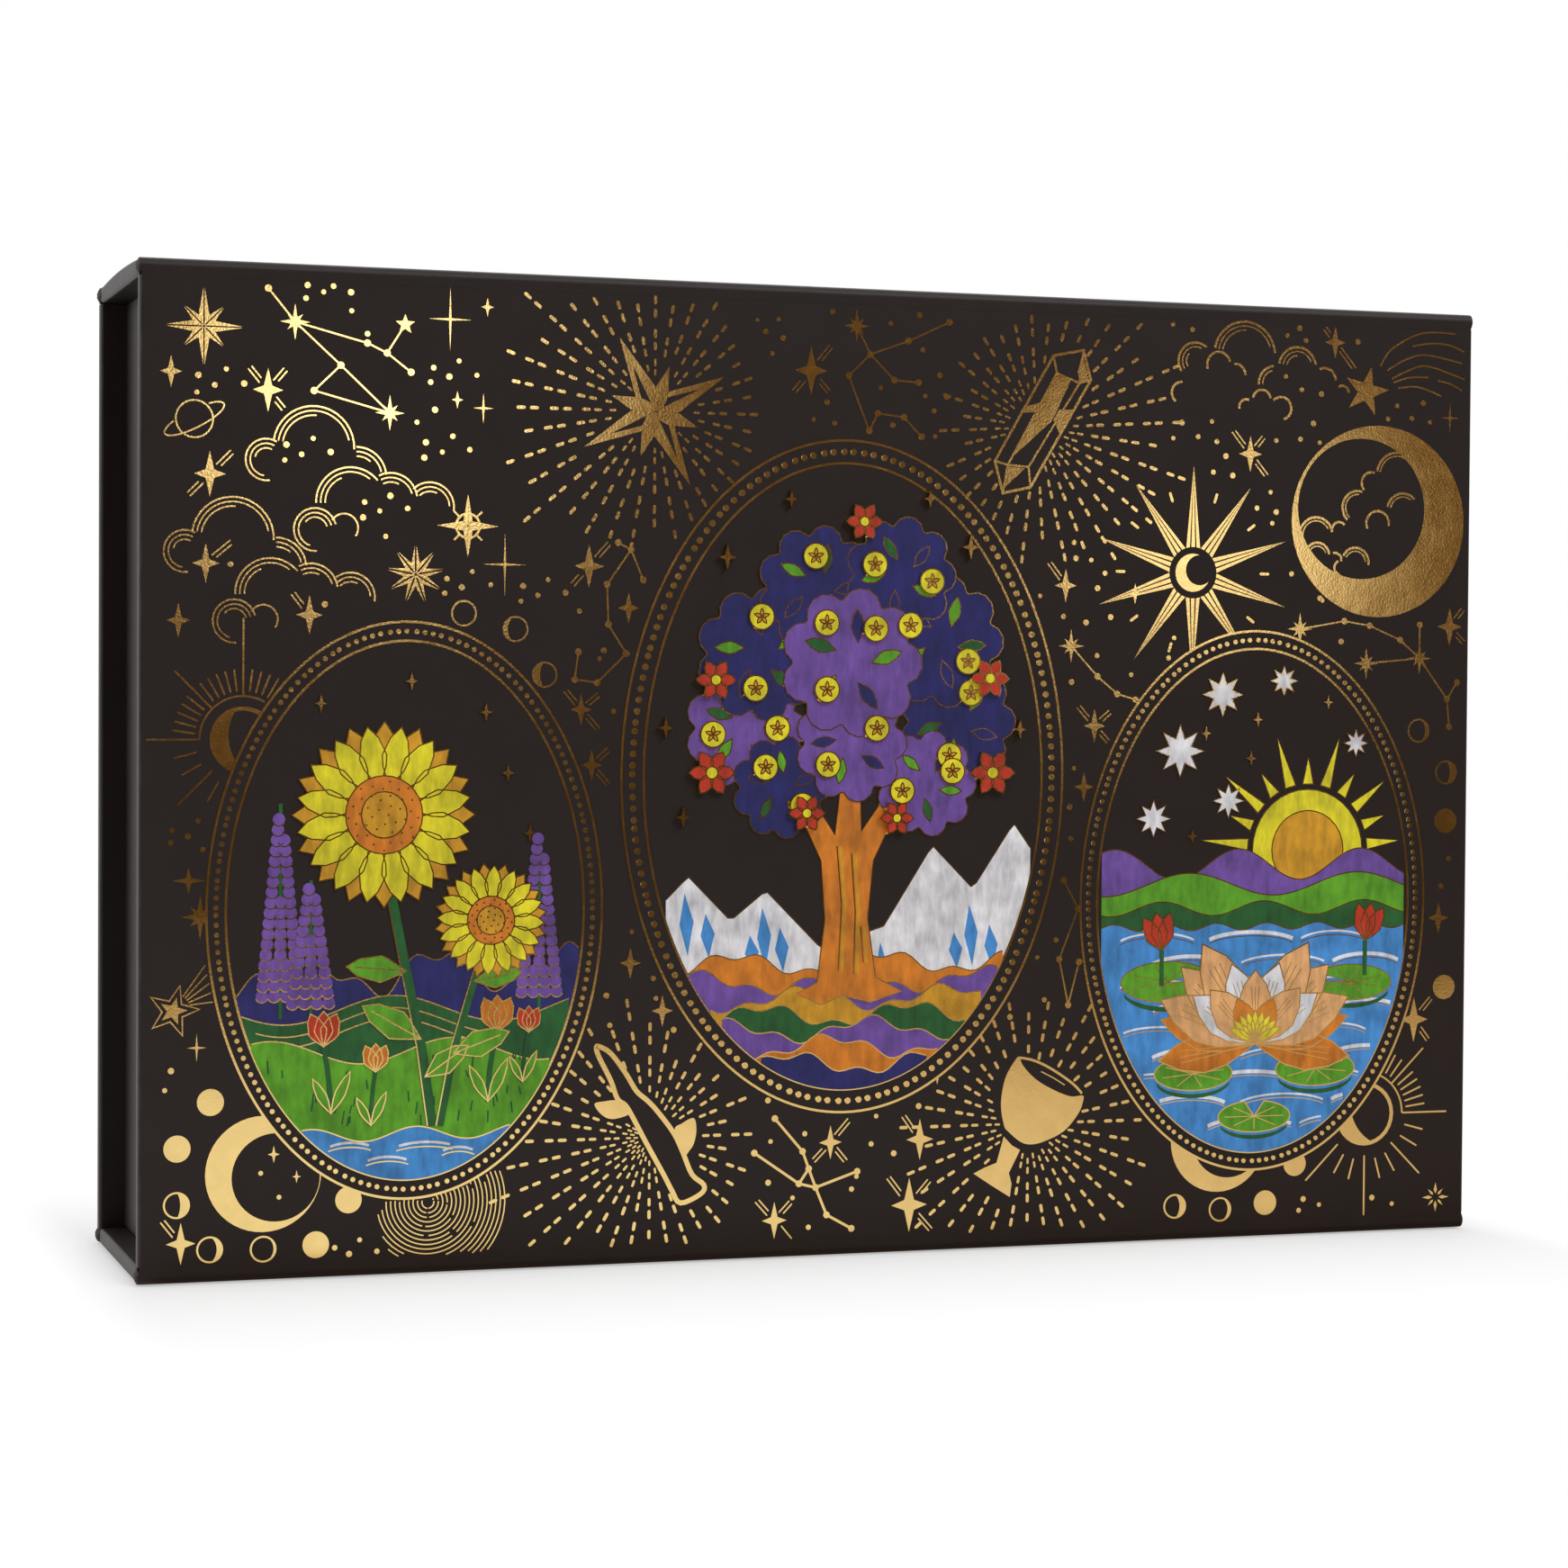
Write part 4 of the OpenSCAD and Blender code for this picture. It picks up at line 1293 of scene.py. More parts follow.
class TAROT_OT_sky(Operator):
    """Stamps the clouds, moons, suns, planet, comets and star trails"""
    bl_idname = "tarot_box.sky"
    bl_label = "Foil sky"

    def execute(self, context):
        art = CoverArt()
        banks = ((0, 0, 5.3, 172, -2), (-6.2, -1.8, 2.7, 60, 280), (5.7, -3.7, 3.85, 92, 5),
                 (4.9, -7.1, 4.6, 182, 40), (10.2, -6.6, 3.5, 118, 8), (15.4, -7.4, 3.2, 135, -10),
                 (0.2, -10.7, 2.8, 15, 275), (4, -10.4, 1.85, 150, -35))
        art.cloud(banks, -73, 108.3, bold=0.9)
        art.cloud(banks, -83.5, 96.3, bold=0.9)
        art.cloud((
            (59.5, 124.9, 4.7, 170, 5), (51.9, 123.8, 2.6, 215, 50), (49.8, 119.3, 1.5, 85, 235),
            (55.5, 123.4, 1.8, 200, 15), (58.1, 122.1, 1.5, 100, 0), (64.2, 121, 2.5, 185, 95),
            (67.7, 123.4, 2.9, 170, 10), (72, 121.8, 1.7, 120, 0), (74.8, 120.1, 1, 130, 0),
            (59.8, 117.6, 1.1, 195, 65), (62.2, 118.7, 1.4, 170, 10), (65.2, 117.6, 1.6, 140, -75),
        ))
        art.finish("foil_clouds")

        art.eclipse(80.7, 101.9, 13.7, 10.0, 3.2, 147)
        art.cloud((
            (70.9, 99.7, 2.6, 190, 12), (74.5, 100.6, 1.1, 172, 40), (77.4, 103.8, 2.4, 228, 72),
            (79.5, 107.4, 1.5, 225, 70), (83.6, 108.6, 3.2, 172, 45), (80.6, 101.6, 1.8, 205, -10),
            (84.6, 103.5, 2.5, 168, 42), (71.1, 96.8, 1.9, 165, 8), (73.9, 96.3, 1, 110, -10),
            (74.8, 95.2, 1, 110, 260), (77.1, 96, 2.1, 155, -10),
        ), lines=2, inset=0.5)
        art.eclipse(-79.3, 13.9, 7.6, 5.75, 1.71, -17)
        art.twinkle(-77.95, 16.4, 1.2)
        art.twinkle(-74.95, 13.4, 0.9)
        art.dot(-79.65, 14.0, 0.35)
        art.dot(-77.25, 10.8, 0.35)
        art.eclipse(56.5, 13.9, 7.3, 5.5, 1.6, 8)
        art.half_sun(-82.1, 70.25, 5.9, -1, 8)
        art.half_sun(79.5, 17, 6.2, 1, 22)
        for x, z, dark in ((-53, 87, 0.85), (-46, 85, 0.6), (-42, 79, 0.35)):
            art.phase(x, z, 1.77, dark, 0)
        phases = ((-90.55, 10.2, 0.26), (-86.25, 4.3, 0.5), (-79.3, 4.1, 0.75), (49.9, 4.8, 0.4),
                  (56.9, 4.1, 0.65), (87.5, 72, 0.6), (92, 66, 0.35))
        for x, z, dark in phases:
            art.phase(x, z, 1.77, dark, 180)
        full = ((-86.2, 23.4), (-90.5, 17.5), (-72.4, 4.4), (-68.1, 10.1), (92, 35), (63.9, 4.8),
                (68.5, 10.2), (92, 59))
        for x, z in full:
            art.fill(circle(x, z, 1.78, 28))
        art.finish("foil_moons")

        sun = (51.8, 94.1)
        for i in range(10):
            tip = polar(*sun, 15.1, 90 + 36 * i)
            for spread in (-17.6, -4.9, 7.8):
                base = [polar(*sun, 3.6, side + 36 * i + spread) for side in (90, 99.8)]
                art.fill([*base, tip])
            art.dash(polar(*sun, 10.5, 108 + 36 * i), polar(*sun, 11.6, 108 + 36 * i), 0.45)
        art.fill(crescent_outline(*sun, 2.7, 2.1, 1.1, 20, 24))
        art.finish("foil_sun")

        art.ring(-88.5, 111.5, 2.4, 0.26)
        loop = placed(circle(0, 0, 4.3, 40, tall=1.15), -88.5, 111.5, 28)
        art.line(loop[14:] + loop[:7], 0.24)
        art.fill(star_outline(78.6, 120.4, 5, 3.7, 1.4, 5))
        tails = (
            ((80.8, 124.1), (82.6, 126.6), (87.4, 129), (92.8, 129.1)),
            ((85.9, 127.1), (89, 127.6), (92, 127.4), (94.3, 126.5)),
            ((81.9, 123.5), (84.7, 125.1), (88.1, 125.9), (93.9, 124.9)),
            ((82.6, 122.3), (85.5, 123.7), (88.5, 124.3), (94.3, 122.6)),
            ((82.9, 121.8), (85.5, 122.6), (88.5, 122.7)), ((90, 122.3), (92, 121.9), (93.9, 121)),
            ((83.6, 121), (86.8, 121.3), (90.6, 120.1)),
        )
        for tail in tails:
            art.line(curved(tail, False), 0.28)
        comet = (-91.05, 35.3)
        art.line(star_outline(*comet, 5, 3.4, 1.4, 75), 0.25, closed=True)
        art.fill(star_outline(*comet, 5, 1.9, 0.8, 75))
        for i in range(5):
            art.line([polar(*comet, 2.2, 20 + 9 * i), (-85.9 - 0.25 * i, 36.4 + 1.2 * i)], 0.22)
        draw = random.Random(7)
        for i in range(17):
            start = draw.uniform(150, 185) + (9 * (i - 6) if i > 8 else 0)
            while start < 390:
                end = min(start + draw.uniform(90, 190), 400)
                art.clipped(arc(-57.5, 9.4, 0.8 + 0.6 * i, start, end, 24), 0.22)
                start = end + draw.uniform(5, 10)
        art.finish("foil_planet_and_trails")
        return {"FINISHED"}


class TAROT_OT_constellations(Operator):
    """Stamps the constellations"""
    bl_idname = "tarot_box.constellations"
    bl_label = "Foil constellations"

    def execute(self, context):
        art = CoverArt()
        art.constellation(
            [(-79, 128.6), (-75.5, 124.4), (-69.5, 119), (-73, 115.6), (-63, 113), (-66, 122), (-63.4, 120.8),
             (-60.2, 118.4), (-61, 124.6)],
            [(0, 1, 2, 3, 4), (2, 4), (1, 5, 6, 7), (6, 8)], bright=(1, 4))
        art.fill(star_outline(-61, 124.6, 5, 1.4, 0.6))
        art.constellation(
            [(1.5, 126.8), (3.5, 123), (9, 125), (15, 127.8), (7, 119.6), (10.5, 119.4), (0.4, 120),
             (3.4, 112.6), (4.6, 115), (8.4, 114.6), (11, 112)],
            [(0, 1, 2, 3), (1, 4, 5), (1, 6, 7, 8, 9, 10)], bright=(0,))
        art.constellation(
            [(68.5, 86.4), (75.5, 87.6), (79.5, 87), (84.4, 85), (87.5, 82.4), (79, 81.6), (87.5, 87.2),
             (92, 76.6), (93.6, 79), (92.4, 72.6)],
            [(0, 1, 2, 3, 4, 5), (4, 6), (4, 7, 8), (7, 9)], bright=(0, 4, 5))
        art.constellation([(33.4, 83.6), (37.4, 79.4), (40.4, 77), (43.2, 76.2)], [(0, 1, 2, 3)], bright=(0,))
        art.constellation([(32.6, 51), (34.8, 47), (32, 40), (33.4, 33.6), (35, 39.6)], [(0, 1, 2, 3, 4)])
        art.constellation(
            [(-9.5, 19), (-5.5, 14.4), (-4.6, 12), (-3.6, 9.4), (-2, 5.6), (-12.4, 14.4), (-6, 10),
             (2.4, 11.4), (1.6, 3.6)],
            [(0, 1, 2, 3, 4, 8), (5, 6, 2), (6, 3, 7)], width=0.42)
        art.constellation(
            [(-32, 96.7), (-30.2, 95.8), (-28.5, 91.8), (-33.5, 91.1), (-33.3, 85.8), (-30.8, 81.9),
             (-34.8, 78), (-37.9, 78.4), (-37.4, 82.1)],
            [(0, 1, 2), (1, 3, 4, 5, 6, 7, 8)])
        art.finish("foil_constellations")
        return {"FINISHED"}


# Pictures in the ovals; the heights of their ground and of each layer on it are in millimetres
PICTURE_BASE = 0.055
LAYER = 0.012
INKS = ("cover", "yellow", "amber", "orange", "red", "leaf", "pine", "violet", "indigo", "blue", "white",
        "peach")


class Picture:
    """One printed picture: filled shapes in layers, each with its gold outline above it."""

    def __init__(self, oval):
        foil = bpy.context.scene.tarot_foil
        self.outer = oval
        self.oval = oval.shrunk(oval.rim)
        self.print = FlatWork(COVER_Y, 0.01)
        self.gold = FlatWork(COVER_Y, 0.015)
        self.outline_width = foil.outline / MM
        self.level = 1
        self.print.fill(oval.outline(), PICTURE_BASE, INKS.index("cover"))

    def height(self, half=0.0):
        return PICTURE_BASE + (self.level + half) * LAYER

    def up(self):
        """The next shapes lie over everything drawn so far."""
        self.level += 1

    def shape(self, outline, ink, outlined=True):
        self.print.fill(outline, self.height(), INKS.index(ink))
        if outlined:
            self.gold.line(outline, self.outline_width, self.height(0.5), closed=True)

    def stroke(self, path, ink, width):
        self.print.line(path, width, self.height(), ink=INKS.index(ink))

    def gold_line(self, path, width=None):
        path = [p for p in path if self.oval.holds(*p)]
        if len(path) > 1:
            self.gold.line(path, width or self.outline_width, self.height(0.5))

    def ground(self, crest, ink, outlined=True):
        """Fills the oval below a crest line, which gives a height for each x."""
        steps = 72
        low, high = [], []
        for i in range(1, steps):
            x = self.oval.x + self.oval.across * (2 * i / steps - 1)
            top = min(crest(x), self.oval.high(x))
            if top > self.oval.low(x) + 0.02:
                low.append((x, self.oval.low(x)))
                high.append((x, top))
        self.print.between(low, high, self.height(), INKS.index(ink))
        if outlined:
            self.gold_line(high)

    def hills(self, ink, height, *waves):
        """Ground with a rolling crest; a wave is its rise, its turns for each millimetre and its start."""
        def crest(x):
            across = x - self.oval.x
            return sum((rise * math.sin(across * turns + start) for rise, turns, start in waves), height)

        self.ground(crest, ink)

    def petal(self, x, z, reach, width, degrees, ink, pointed=0.5):
        """One petal or leaf that grows from x, z along an angle."""
        side = [(0.12, 0.16), (0.32, 0.40), (pointed, 0.5), (0.80, 0.32)]
        outline = [(0, 0)] + [(reach * t, -width * w) for t, w in side] + [(reach, 0)]
        outline += [(reach * t, width * w) for t, w in reversed(side)]
        self.shape(placed(outline, x, z, degrees), ink)

    def frame_ring(self):
        """Two gold lines round the picture, with a string of beads between them."""
        rim, top, width = self.outer.rim, PICTURE_BASE + 0.03, 0.36
        for oval in (self.outer, self.oval):
            self.gold.line(oval.outline(160), width, top, closed=True)
        middle = self.outer.shrunk(rim / 2)
        across, tall = middle.across, middle.tall
        around = math.pi * (3 * (across + tall) - math.sqrt((3 * across + tall) * (across + 3 * tall)))
        beads = round(around / (bpy.context.scene.tarot_foil.bead_pitch * rim))
        path = middle.outline(720)
        lengths = [0.0]
        for a, b in zip(path, path[1:] + path[:1]):
            lengths.append(lengths[-1] + math.dist(a, b))
        spot = 0
        for i in range(beads):
            while lengths[spot + 1] < lengths[-1] * i / beads:
                spot += 1
            self.gold.fill(circle(*path[spot], 0.165 * rim, 12), top, slope=0.08)

    def finish(self, name):
        self.frame_ring()
        inks = ["wrap_paper"] + ["ink_" + ink for ink in INKS[1:]]
        self.print.piece(name, inks, "picture_ink", "lid")
        self.gold.piece(name + "_gold", ["gold_foil"], "gold_foil", "lid")


def sunflower(art, x, z, radius, turn):
    """Two rings of petals round a seeded heart."""
    for ring, ink, reach in ((0, "amber", 1.0), (1, "yellow", 0.94)):
        for i in range(16):
            angle = turn + 22.5 * (i + 0.5 * ring)
            start = polar(x, z, radius * 0.30, angle)
            art.petal(*start, radius * 0.70 * reach, radius * 0.30, angle, ink)
        art.up()
    art.shape(circle(x, z, radius * 0.42, 28), "orange")
    art.up()
    art.shape(circle(x, z, radius * 0.25, 20), "amber")
    for i in range(40):
        spot = polar(x, z, radius * 0.40 * math.sqrt((i + 0.5) / 40), 137.5 * i)
        art.gold.fill(circle(*spot, 0.16, 6), art.height(0.6))
    art.up()


def tulip(art, x, z, size, ink, lean=0.0):
    stem = [(x + lean * t * t, z + size * 2.2 * t) for t in (0, 0.35, 0.7, 1.0)]
    art.stroke(stem, "pine", size * 0.16)
    art.petal(x, z, size * 1.5, size * 0.34, 65, "leaf")
    art.petal(x, z, size * 1.3, size * 0.32, 118, "leaf")
    top = stem[-1]
    for angle in (112, 68, 90):
        art.petal(*top, size * 1.15, size * 0.62, angle, ink, 0.45)


def meadow_picture():
    """Sunflowers between flower spikes, over a meadow and a pond."""
    art = Picture(LEFT_OVAL)
    cx = LEFT_OVAL.x
    art.hills("indigo", 40, (2.6, 0.34, 0), (1.2, 0.9, 1))
    art.up()
    art.hills("pine", 35, (1.8, 0.22, 2))
    for drop in (1.6, 3.0):
        art.gold_line([(cx + t, 35 - drop + 1.8 * math.sin(t * 0.22 + 2)) for t in range(-20, 12)])
    art.up()
    art.hills("leaf", 29.5, (1.6, 0.26, 0))
    art.up()
    art.hills("blue", 18.6, (0.9, 0.45, 1))
    art.up()
    for x, z, reach in ((-68, 17.4, 4.5), (-58, 17.2, 6), (-53.5, 16.4, 3.5), (-63, 15.4, 4.5)):
        art.stroke(arc(x, z - 2.2, reach, 125, 55, 12, tall=2.4), "white", 0.35)
        art.gold_line(arc(x, z - 3.0, reach * 1.1, 125, 55, 12, tall=2.6))
    draw = random.Random(3)
    for i in range(46):
        x, z = cx + draw.uniform(-20, 20), draw.uniform(19.5, 28)
        tip = (x + draw.uniform(-0.4, 0.4), z + draw.uniform(0.9, 1.8))
        if art.oval.shrunk(0.8).holds(x, z):
            art.stroke([(x, z), tip], "pine", 0.22)
    art.up()
    for x, foot, top in ((-77.2, 34, 62), (-42.6, 34, 58), (-73.2, 33, 52)):
        art.stroke([(x, foot), (x, top)], "pine", 0.5)
        art.up()
        rows = int((top - foot) / 1.5)
        for i in range(rows):
            spread = 2.3 * (1 - i / rows) + 0.1
            florets = 1 + round(spread / 0.8)
            for k in range(florets):
                spot = (x + (2 * k / max(florets - 1, 1) - 1) * spread, foot + 3 + 1.35 * i)
                if art.oval.shrunk(1).holds(*spot):
                    art.shape(circle(*spot, 0.85, 10), "violet", False)
                    art.gold_line(arc(*spot, 0.85, 200, 340, 6))
        art.up()
    tulips = ((-70.5, 21.5, 4.0, "red", -1), (-49.5, 22.5, 4.2, "orange", 1.2),
              (-65.2, 19.8, 3.2, "orange", 0.6), (-44.8, 25.0, 3.0, "red", 0.8))
    for flower in tulips:
        tulip(art, *flower)
        art.up()
    stems = ((((-57, 19.5), (-58.5, 30), (-61, 42), (-63, 52)), 1.3),
             (((-56, 19.5), (-54, 30), (-51, 40), (-49.6, 44)), 1.0))
    for path, width in stems:
        art.stroke(path, "pine", width)
        art.gold_line([(x - width / 2, z) for x, z in path])
    leaves = ((-58.6, 31, 9, 150), (-60.6, 40, 8, 175), (-54.2, 29, 8, 20), (-51.4, 38.5, 6.5, 10),
              (-58, 26, 7, 35))
    for x, z, reach, angle in leaves:
        art.petal(x, z, reach, reach * 0.44, angle, "leaf", 0.42)
        art.gold_line([(x, z), polar(x, z, reach * 0.85, angle)])
    art.up()
    sunflower(art, -49.2, 46.5, 7.6, 8)
    sunflower(art, -63.6, 60.5, 12.2, 0)
    for x, z in ((-47, 66), (-50, 74), (-72, 75), (-60, 78), (-44, 58)):
        art.gold.fill(needle_outline(x, z, 1.3, 0.9, 0.35), art.height())
    art.finish("meadow_picture")


def tree_picture():
    """A fruit tree on banded rock before snowy mountains."""
    art = Picture(MIDDLE_OVAL)
    peaks = [(-30, 44), (-22, 52), (-16, 46), (-11, 50), (-3, 42), (6, 45), (13, 56), (19, 50), (25, 59),
             (33, 48)]

    def ridge(x):
        for (ax, az), (bx, bz) in zip(peaks, peaks[1:]):
            if ax <= x <= bx:
                return az + (bz - az) * (x - ax) / (bx - ax)
        return 40

    art.ground(ridge, "white")
    art.up()
    for (x, z), wide in zip(peaks[1::2], (5.5, 4.5, 4.0, 5.5, 5.5)):
        for shift, drop, tall in ((-0.5, 2.2, 8.5), (wide * 0.45, 5.0, 6.0), (-wide * 0.5, 6.0, 5.0)):
            corners = ((0, 0), (1.3, 0.45), (0.5, 1), (-0.7, 0.5))
            slash = [(x + shift + dx, z - drop - tall * fall) for dx, fall in corners]
            if all(art.oval.holds(*p) for p in slash):
                art.shape(slash, "blue", outlined=False)
    art.up()
    bands = (("orange", 40), ("violet", 37.6), ("amber", 35.2), ("pine", 33.0), ("violet", 31.0),
             ("orange", 28.6), ("indigo", 26.4))
    for i, (ink, height) in enumerate(bands):
        art.hills(ink, height, (1.3, 0.30, 1.7 * i), (0.6, 0.9, i))
        art.up()
    trunk = [(-6.5, 36), (-3.6, 37.4), (-2.6, 46), (-3.2, 54), (-7.5, 63), (-5.8, 64.4), (-1.2, 57.5),
             (0.2, 70), (2.2, 70), (2.6, 58), (7.6, 65), (9.2, 63.8), (4.4, 54), (3.6, 46), (4.8, 38),
             (8.6, 36), (4, 34.6), (0, 35.6), (-3, 34.4)]
    art.shape(trunk, "orange")
    art.up()
    grain = (((-0.6, 39), (-0.2, 48), (-0.9, 56)), ((1.6, 38.5), (1.8, 47), (1.2, 55)), ((3, 40), (2.6, 45)))
    for path in grain:
        art.gold_line(list(path))
        art.stroke([(x + 0.5, z) for x, z in path], "amber", 0.5)
    art.up()
    lobes = ((-14, 72, 8), (16.5, 73, 8), (-9, 64, 6.5), (12, 64.5, 6.8), (-12, 82, 8.5), (14, 84, 8.5),
             (1, 70, 7.5), (-4, 91, 8), (8, 93, 7.5), (1, 81, 9.5))
    fruit = []
    for i, (x, z, radius) in enumerate(lobes):
        scallop = []
        for k in range(9):
            spot = polar(x, z, radius * 0.78, 40 * k)
            scallop += arc(*spot, radius * 0.30, 40 * k - 75, 40 * k + 75, 5)
        art.shape(scallop, "indigo" if i % 3 else "violet")
        art.up()
        for k in range(5):
            angle = 72 * k + 40 * i
            start = polar(x, z, radius * 0.30, angle)
            art.petal(*start, radius * 0.48, radius * 0.20, angle + 20, ("leaf", "indigo", "pine")[k % 3])
        fruit.append(polar(x, z, radius * 0.55, 65 * i))
        fruit.append(polar(x, z, radius * 0.60, 65 * i + 190))
        art.up()
    for x, z in fruit:
        art.shape(circle(x, z, 1.75, 18), "yellow")
        art.up()
        for k in range(5):
            art.petal(x, z, 1.1, 0.5, 90 + 72 * k, "amber")
        art.up()
    blossom = ((-19, 66, 3.2), (21.5, 66, 3.2), (-18.5, 78.5, 2.8), (21, 79, 2.8), (-5.5, 60.5, 2.6),
               (7.5, 59.8, 2.4), (2.5, 100.2, 2.6))
    for x, z, size in blossom:
        for k in range(6):
            art.petal(x, z, size, size * 0.62, 60 * k, "red")
        art.up()
        art.shape(circle(x, z, size * 0.26, 12), "yellow")
    art.up()
    stars = ((-17, 95, 1.8), (18, 97, 1.8), (-23, 60, 1.4), (25.5, 72, 1.4), (-25.5, 72, 1.5), (-8, 103, 1.3),
             (12, 103.5, 1.3))
    for x, z, tall in stars:
        art.gold.fill(needle_outline(x, z, tall, tall * 0.7, tall * 0.27), art.height())
    art.finish("tree_picture")


def lily_picture():
    """A water lily at sunrise."""
    art = Picture(RIGHT_OVAL)
    cx = RIGHT_OVAL.x
    sun = (70, 55)
    for i in range(13):
        angle = -12 + 17 * i
        reach = 16.5 if i % 2 else 13.0
        while not art.oval.shrunk(0.8).holds(*polar(*sun, reach, angle)):
            reach -= 0.5
        ray = ((9.4, angle - 5), (reach, angle), (9.4, angle + 5))
        art.shape([polar(*sun, *corner) for corner in ray], "yellow")
    art.shape(circle(*sun, 8.6, 36), "yellow")
    art.up()
    art.shape(circle(*sun, 5.6, 28), "amber")
    art.up()
    bands = (("violet", 53, (2.2, 0.33, 2.4)), ("leaf", 50.2, (1.6, 0.24, 4)), ("pine", 46.8, (1.0, 0.4, 1)),
             ("blue", 44.2, (0.5, 0.8, 0)))
    for band in bands:
        art.hills(*band)
        art.up()
    for i in range(9):
        z = 43.0 - 3.3 * i
        for k, (shift, wide) in enumerate(((-13, 6.5), (1.5, 7.5), (14.5, 6))):
            x = cx + shift + (3.0 if i % 2 else -2.0)
            path = [p for p in arc(x, z - 1.6, wide, 150, 30, 14, tall=2.0) if art.oval.shrunk(0.4).holds(*p)]
            if len(path) > 3:
                art.stroke(path, "white", 0.55 if (i + k) % 2 else 0.3)
                art.gold_line([(px, pz - 0.55) for px, pz in path], 0.16)
    art.up()
    pads = ((48.5, 36.5, 7.2, 20), (77, 36, 6.4, 160), (52.5, 23.5, 6.0, 60), (71.5, 23.8, 6.2, 120),
            (62, 17.2, 5.6, 90))
    for x, z, wide, notch in pads:
        pad = [(x, z)] + arc(x, z, wide, notch + 16, notch + 344, 32, tall=wide * 0.40)
        art.shape(pad, "leaf")
        for k in range(7):
            vein = polar(0, 0, wide * 0.82, notch + 45 * (k + 1))
            art.gold_line([(x, z), (x + vein[0], z + vein[1] * 0.4)], 0.15)
        brim = arc(x, z - wide * 0.06, wide, 200, 340, 20, tall=wide * 0.42)
        brim += arc(x, z - wide * 0.14, wide * 0.98, 340, 200, 20, tall=wide * 0.44)
        art.shape(brim, "pine", False)
    art.up()
    heart = (62, 27.5)
    rings = (("orange", (-8, 14, 166, 188), 15.0, 5.6), ("peach", (24, 44, 136, 156), 16.0, 6.6),
             ("peach", (60, 120), 16.5, 7.2), ("white", (36, 72, 108, 144), 12.0, 5.4),
             ("peach", (48, 90, 132), 10.5, 5.4),
             ("orange", (66, 114), 7.0, 3.8))
    for ink, angles, reach, width in rings:
        for angle in angles:
            art.petal(*heart, reach, width, angle, ink, 0.55)
            for k in (-0.16, 0.0, 0.16):
                start = polar(*heart, reach * 0.35, angle + 30 * k)
                art.gold_line([start, polar(*heart, reach * 0.78, angle + 26 * k)], 0.13)
        art.up()
    for k in range(9):
        art.petal(heart[0], heart[1] + 0.4, 4.4, 1.2, 26 + 16 * k, "yellow")
    art.up()
    for x, z, lean in ((47.5, 41, 100), (79.2, 42, 80)):
        art.stroke([(x, z - 5), (x, z)], "pine", 0.6)
        for angle in (lean + 22, lean - 22, lean):
            art.petal(x, z, 5.4, 2.4, angle, "red", 0.45)
    art.up()
    stars = ((50, 69, 3.6), (56.5, 77, 3.0), (46, 59.5, 2.6), (57.5, 62, 2.4), (77.4, 70.2, 1.9),
             (66, 79, 2.0))
    for x, z, tall in stars:
        art.shape(star_outline(x, z, 8, tall, tall * 0.5, 90), "white")
    for x, z in ((52, 57), (54, 71.5), (62, 73.5), (73, 76), (61, 68)):
        art.gold.fill(needle_outline(x, z, 1.1, 0.8, 0.3), art.height())
    art.finish("lily_picture")


class TAROT_OT_pictures(Operator):
    """Prints the three pictures and stamps the beaded ovals round them"""
    bl_idname = "tarot_box.pictures"
    bl_label = "Oval pictures"

    def execute(self, context):
        meadow_picture()
        tree_picture()
        lily_picture()
        return {"FINISHED"}


# Contents
class FrontDesign:
    """A foil design on the front of a stack, in millimetres from its middle."""

    def __init__(self, node):
        foil = bpy.context.scene.tarot_foil
        low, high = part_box(node)
        self.x, self.z = (low.x + high.x) / 2 / MM, (low.z + high.z) / 2 / MM
        self.half_w, self.half_h = (high.x - low.x) / 2 / MM, (high.z - low.z) / 2 / MM
        self.top = foil.thickness / MM
        self.work = FlatWork(low.y, foil.slope / MM / 2)

    def fill(self, outline):
        self.work.fill(outline, self.top)

    def ring(self, radius, width):
        self.work.line(circle(self.x, self.z, radius, 72), width, self.top, closed=True)

    def border(self, inset, width, radius):
        low = Vector((self.x - self.half_w + inset, 0, self.z - self.half_h + inset))
        high = Vector((self.x + self.half_w - inset, 0, self.z + self.half_h - inset))
        self.work.line(rounded_rectangle(low, high, radius, 6), width, self.top, closed=True)

    def rays(self, count, start, long_end, short_end, spread):
        for i in range(count):
            angle = 360 * i / count
            tip = polar(self.x, self.z, short_end if i % 2 else long_end, angle)
            left, right = (polar(self.x, self.z, start, angle + side) for side in (-spread, spread))
            self.fill([left, tip, right])

    def finish(self, name, body):
        self.work.piece(name, ["gold_foil"], "gold_foil", body)


def card_back_foil():
    """A lattice of stars round a rayed star, the same either way up."""
    design = FrontDesign("major_arcana_cards")
    design.border(2.6, 0.5, 3.0)
    design.border(3.8, 0.22, 2.2)
    for row in range(-6, 7):
        for column in range(-3, 4):
            x = design.x + column * (design.half_w - 8) / 3
            z = design.z + row * (design.half_h - 8) / 6
            if math.hypot(x - design.x, z - design.z) < 23:
                continue
            if (row + column) % 2:
                design.fill(circle(x, z, 0.45, 10))
            else:
                design.fill(needle_outline(x, z, 2.0, 1.4, 0.5))
    for radius, width in ((21, 0.4), (19.6, 0.2), (8.6, 0.25)):
        design.ring(radius, width)
    for i in range(48):
        design.fill(circle(*polar(design.x, design.z, 20.3, 7.5 * i), 0.22, 6))
    design.rays(24, 9.4, 18.0, 14.5, 5)
    design.fill(star_outline(design.x, design.z, 8, 7.4, 3.2))
    design.finish("card_back_foil", "deck")


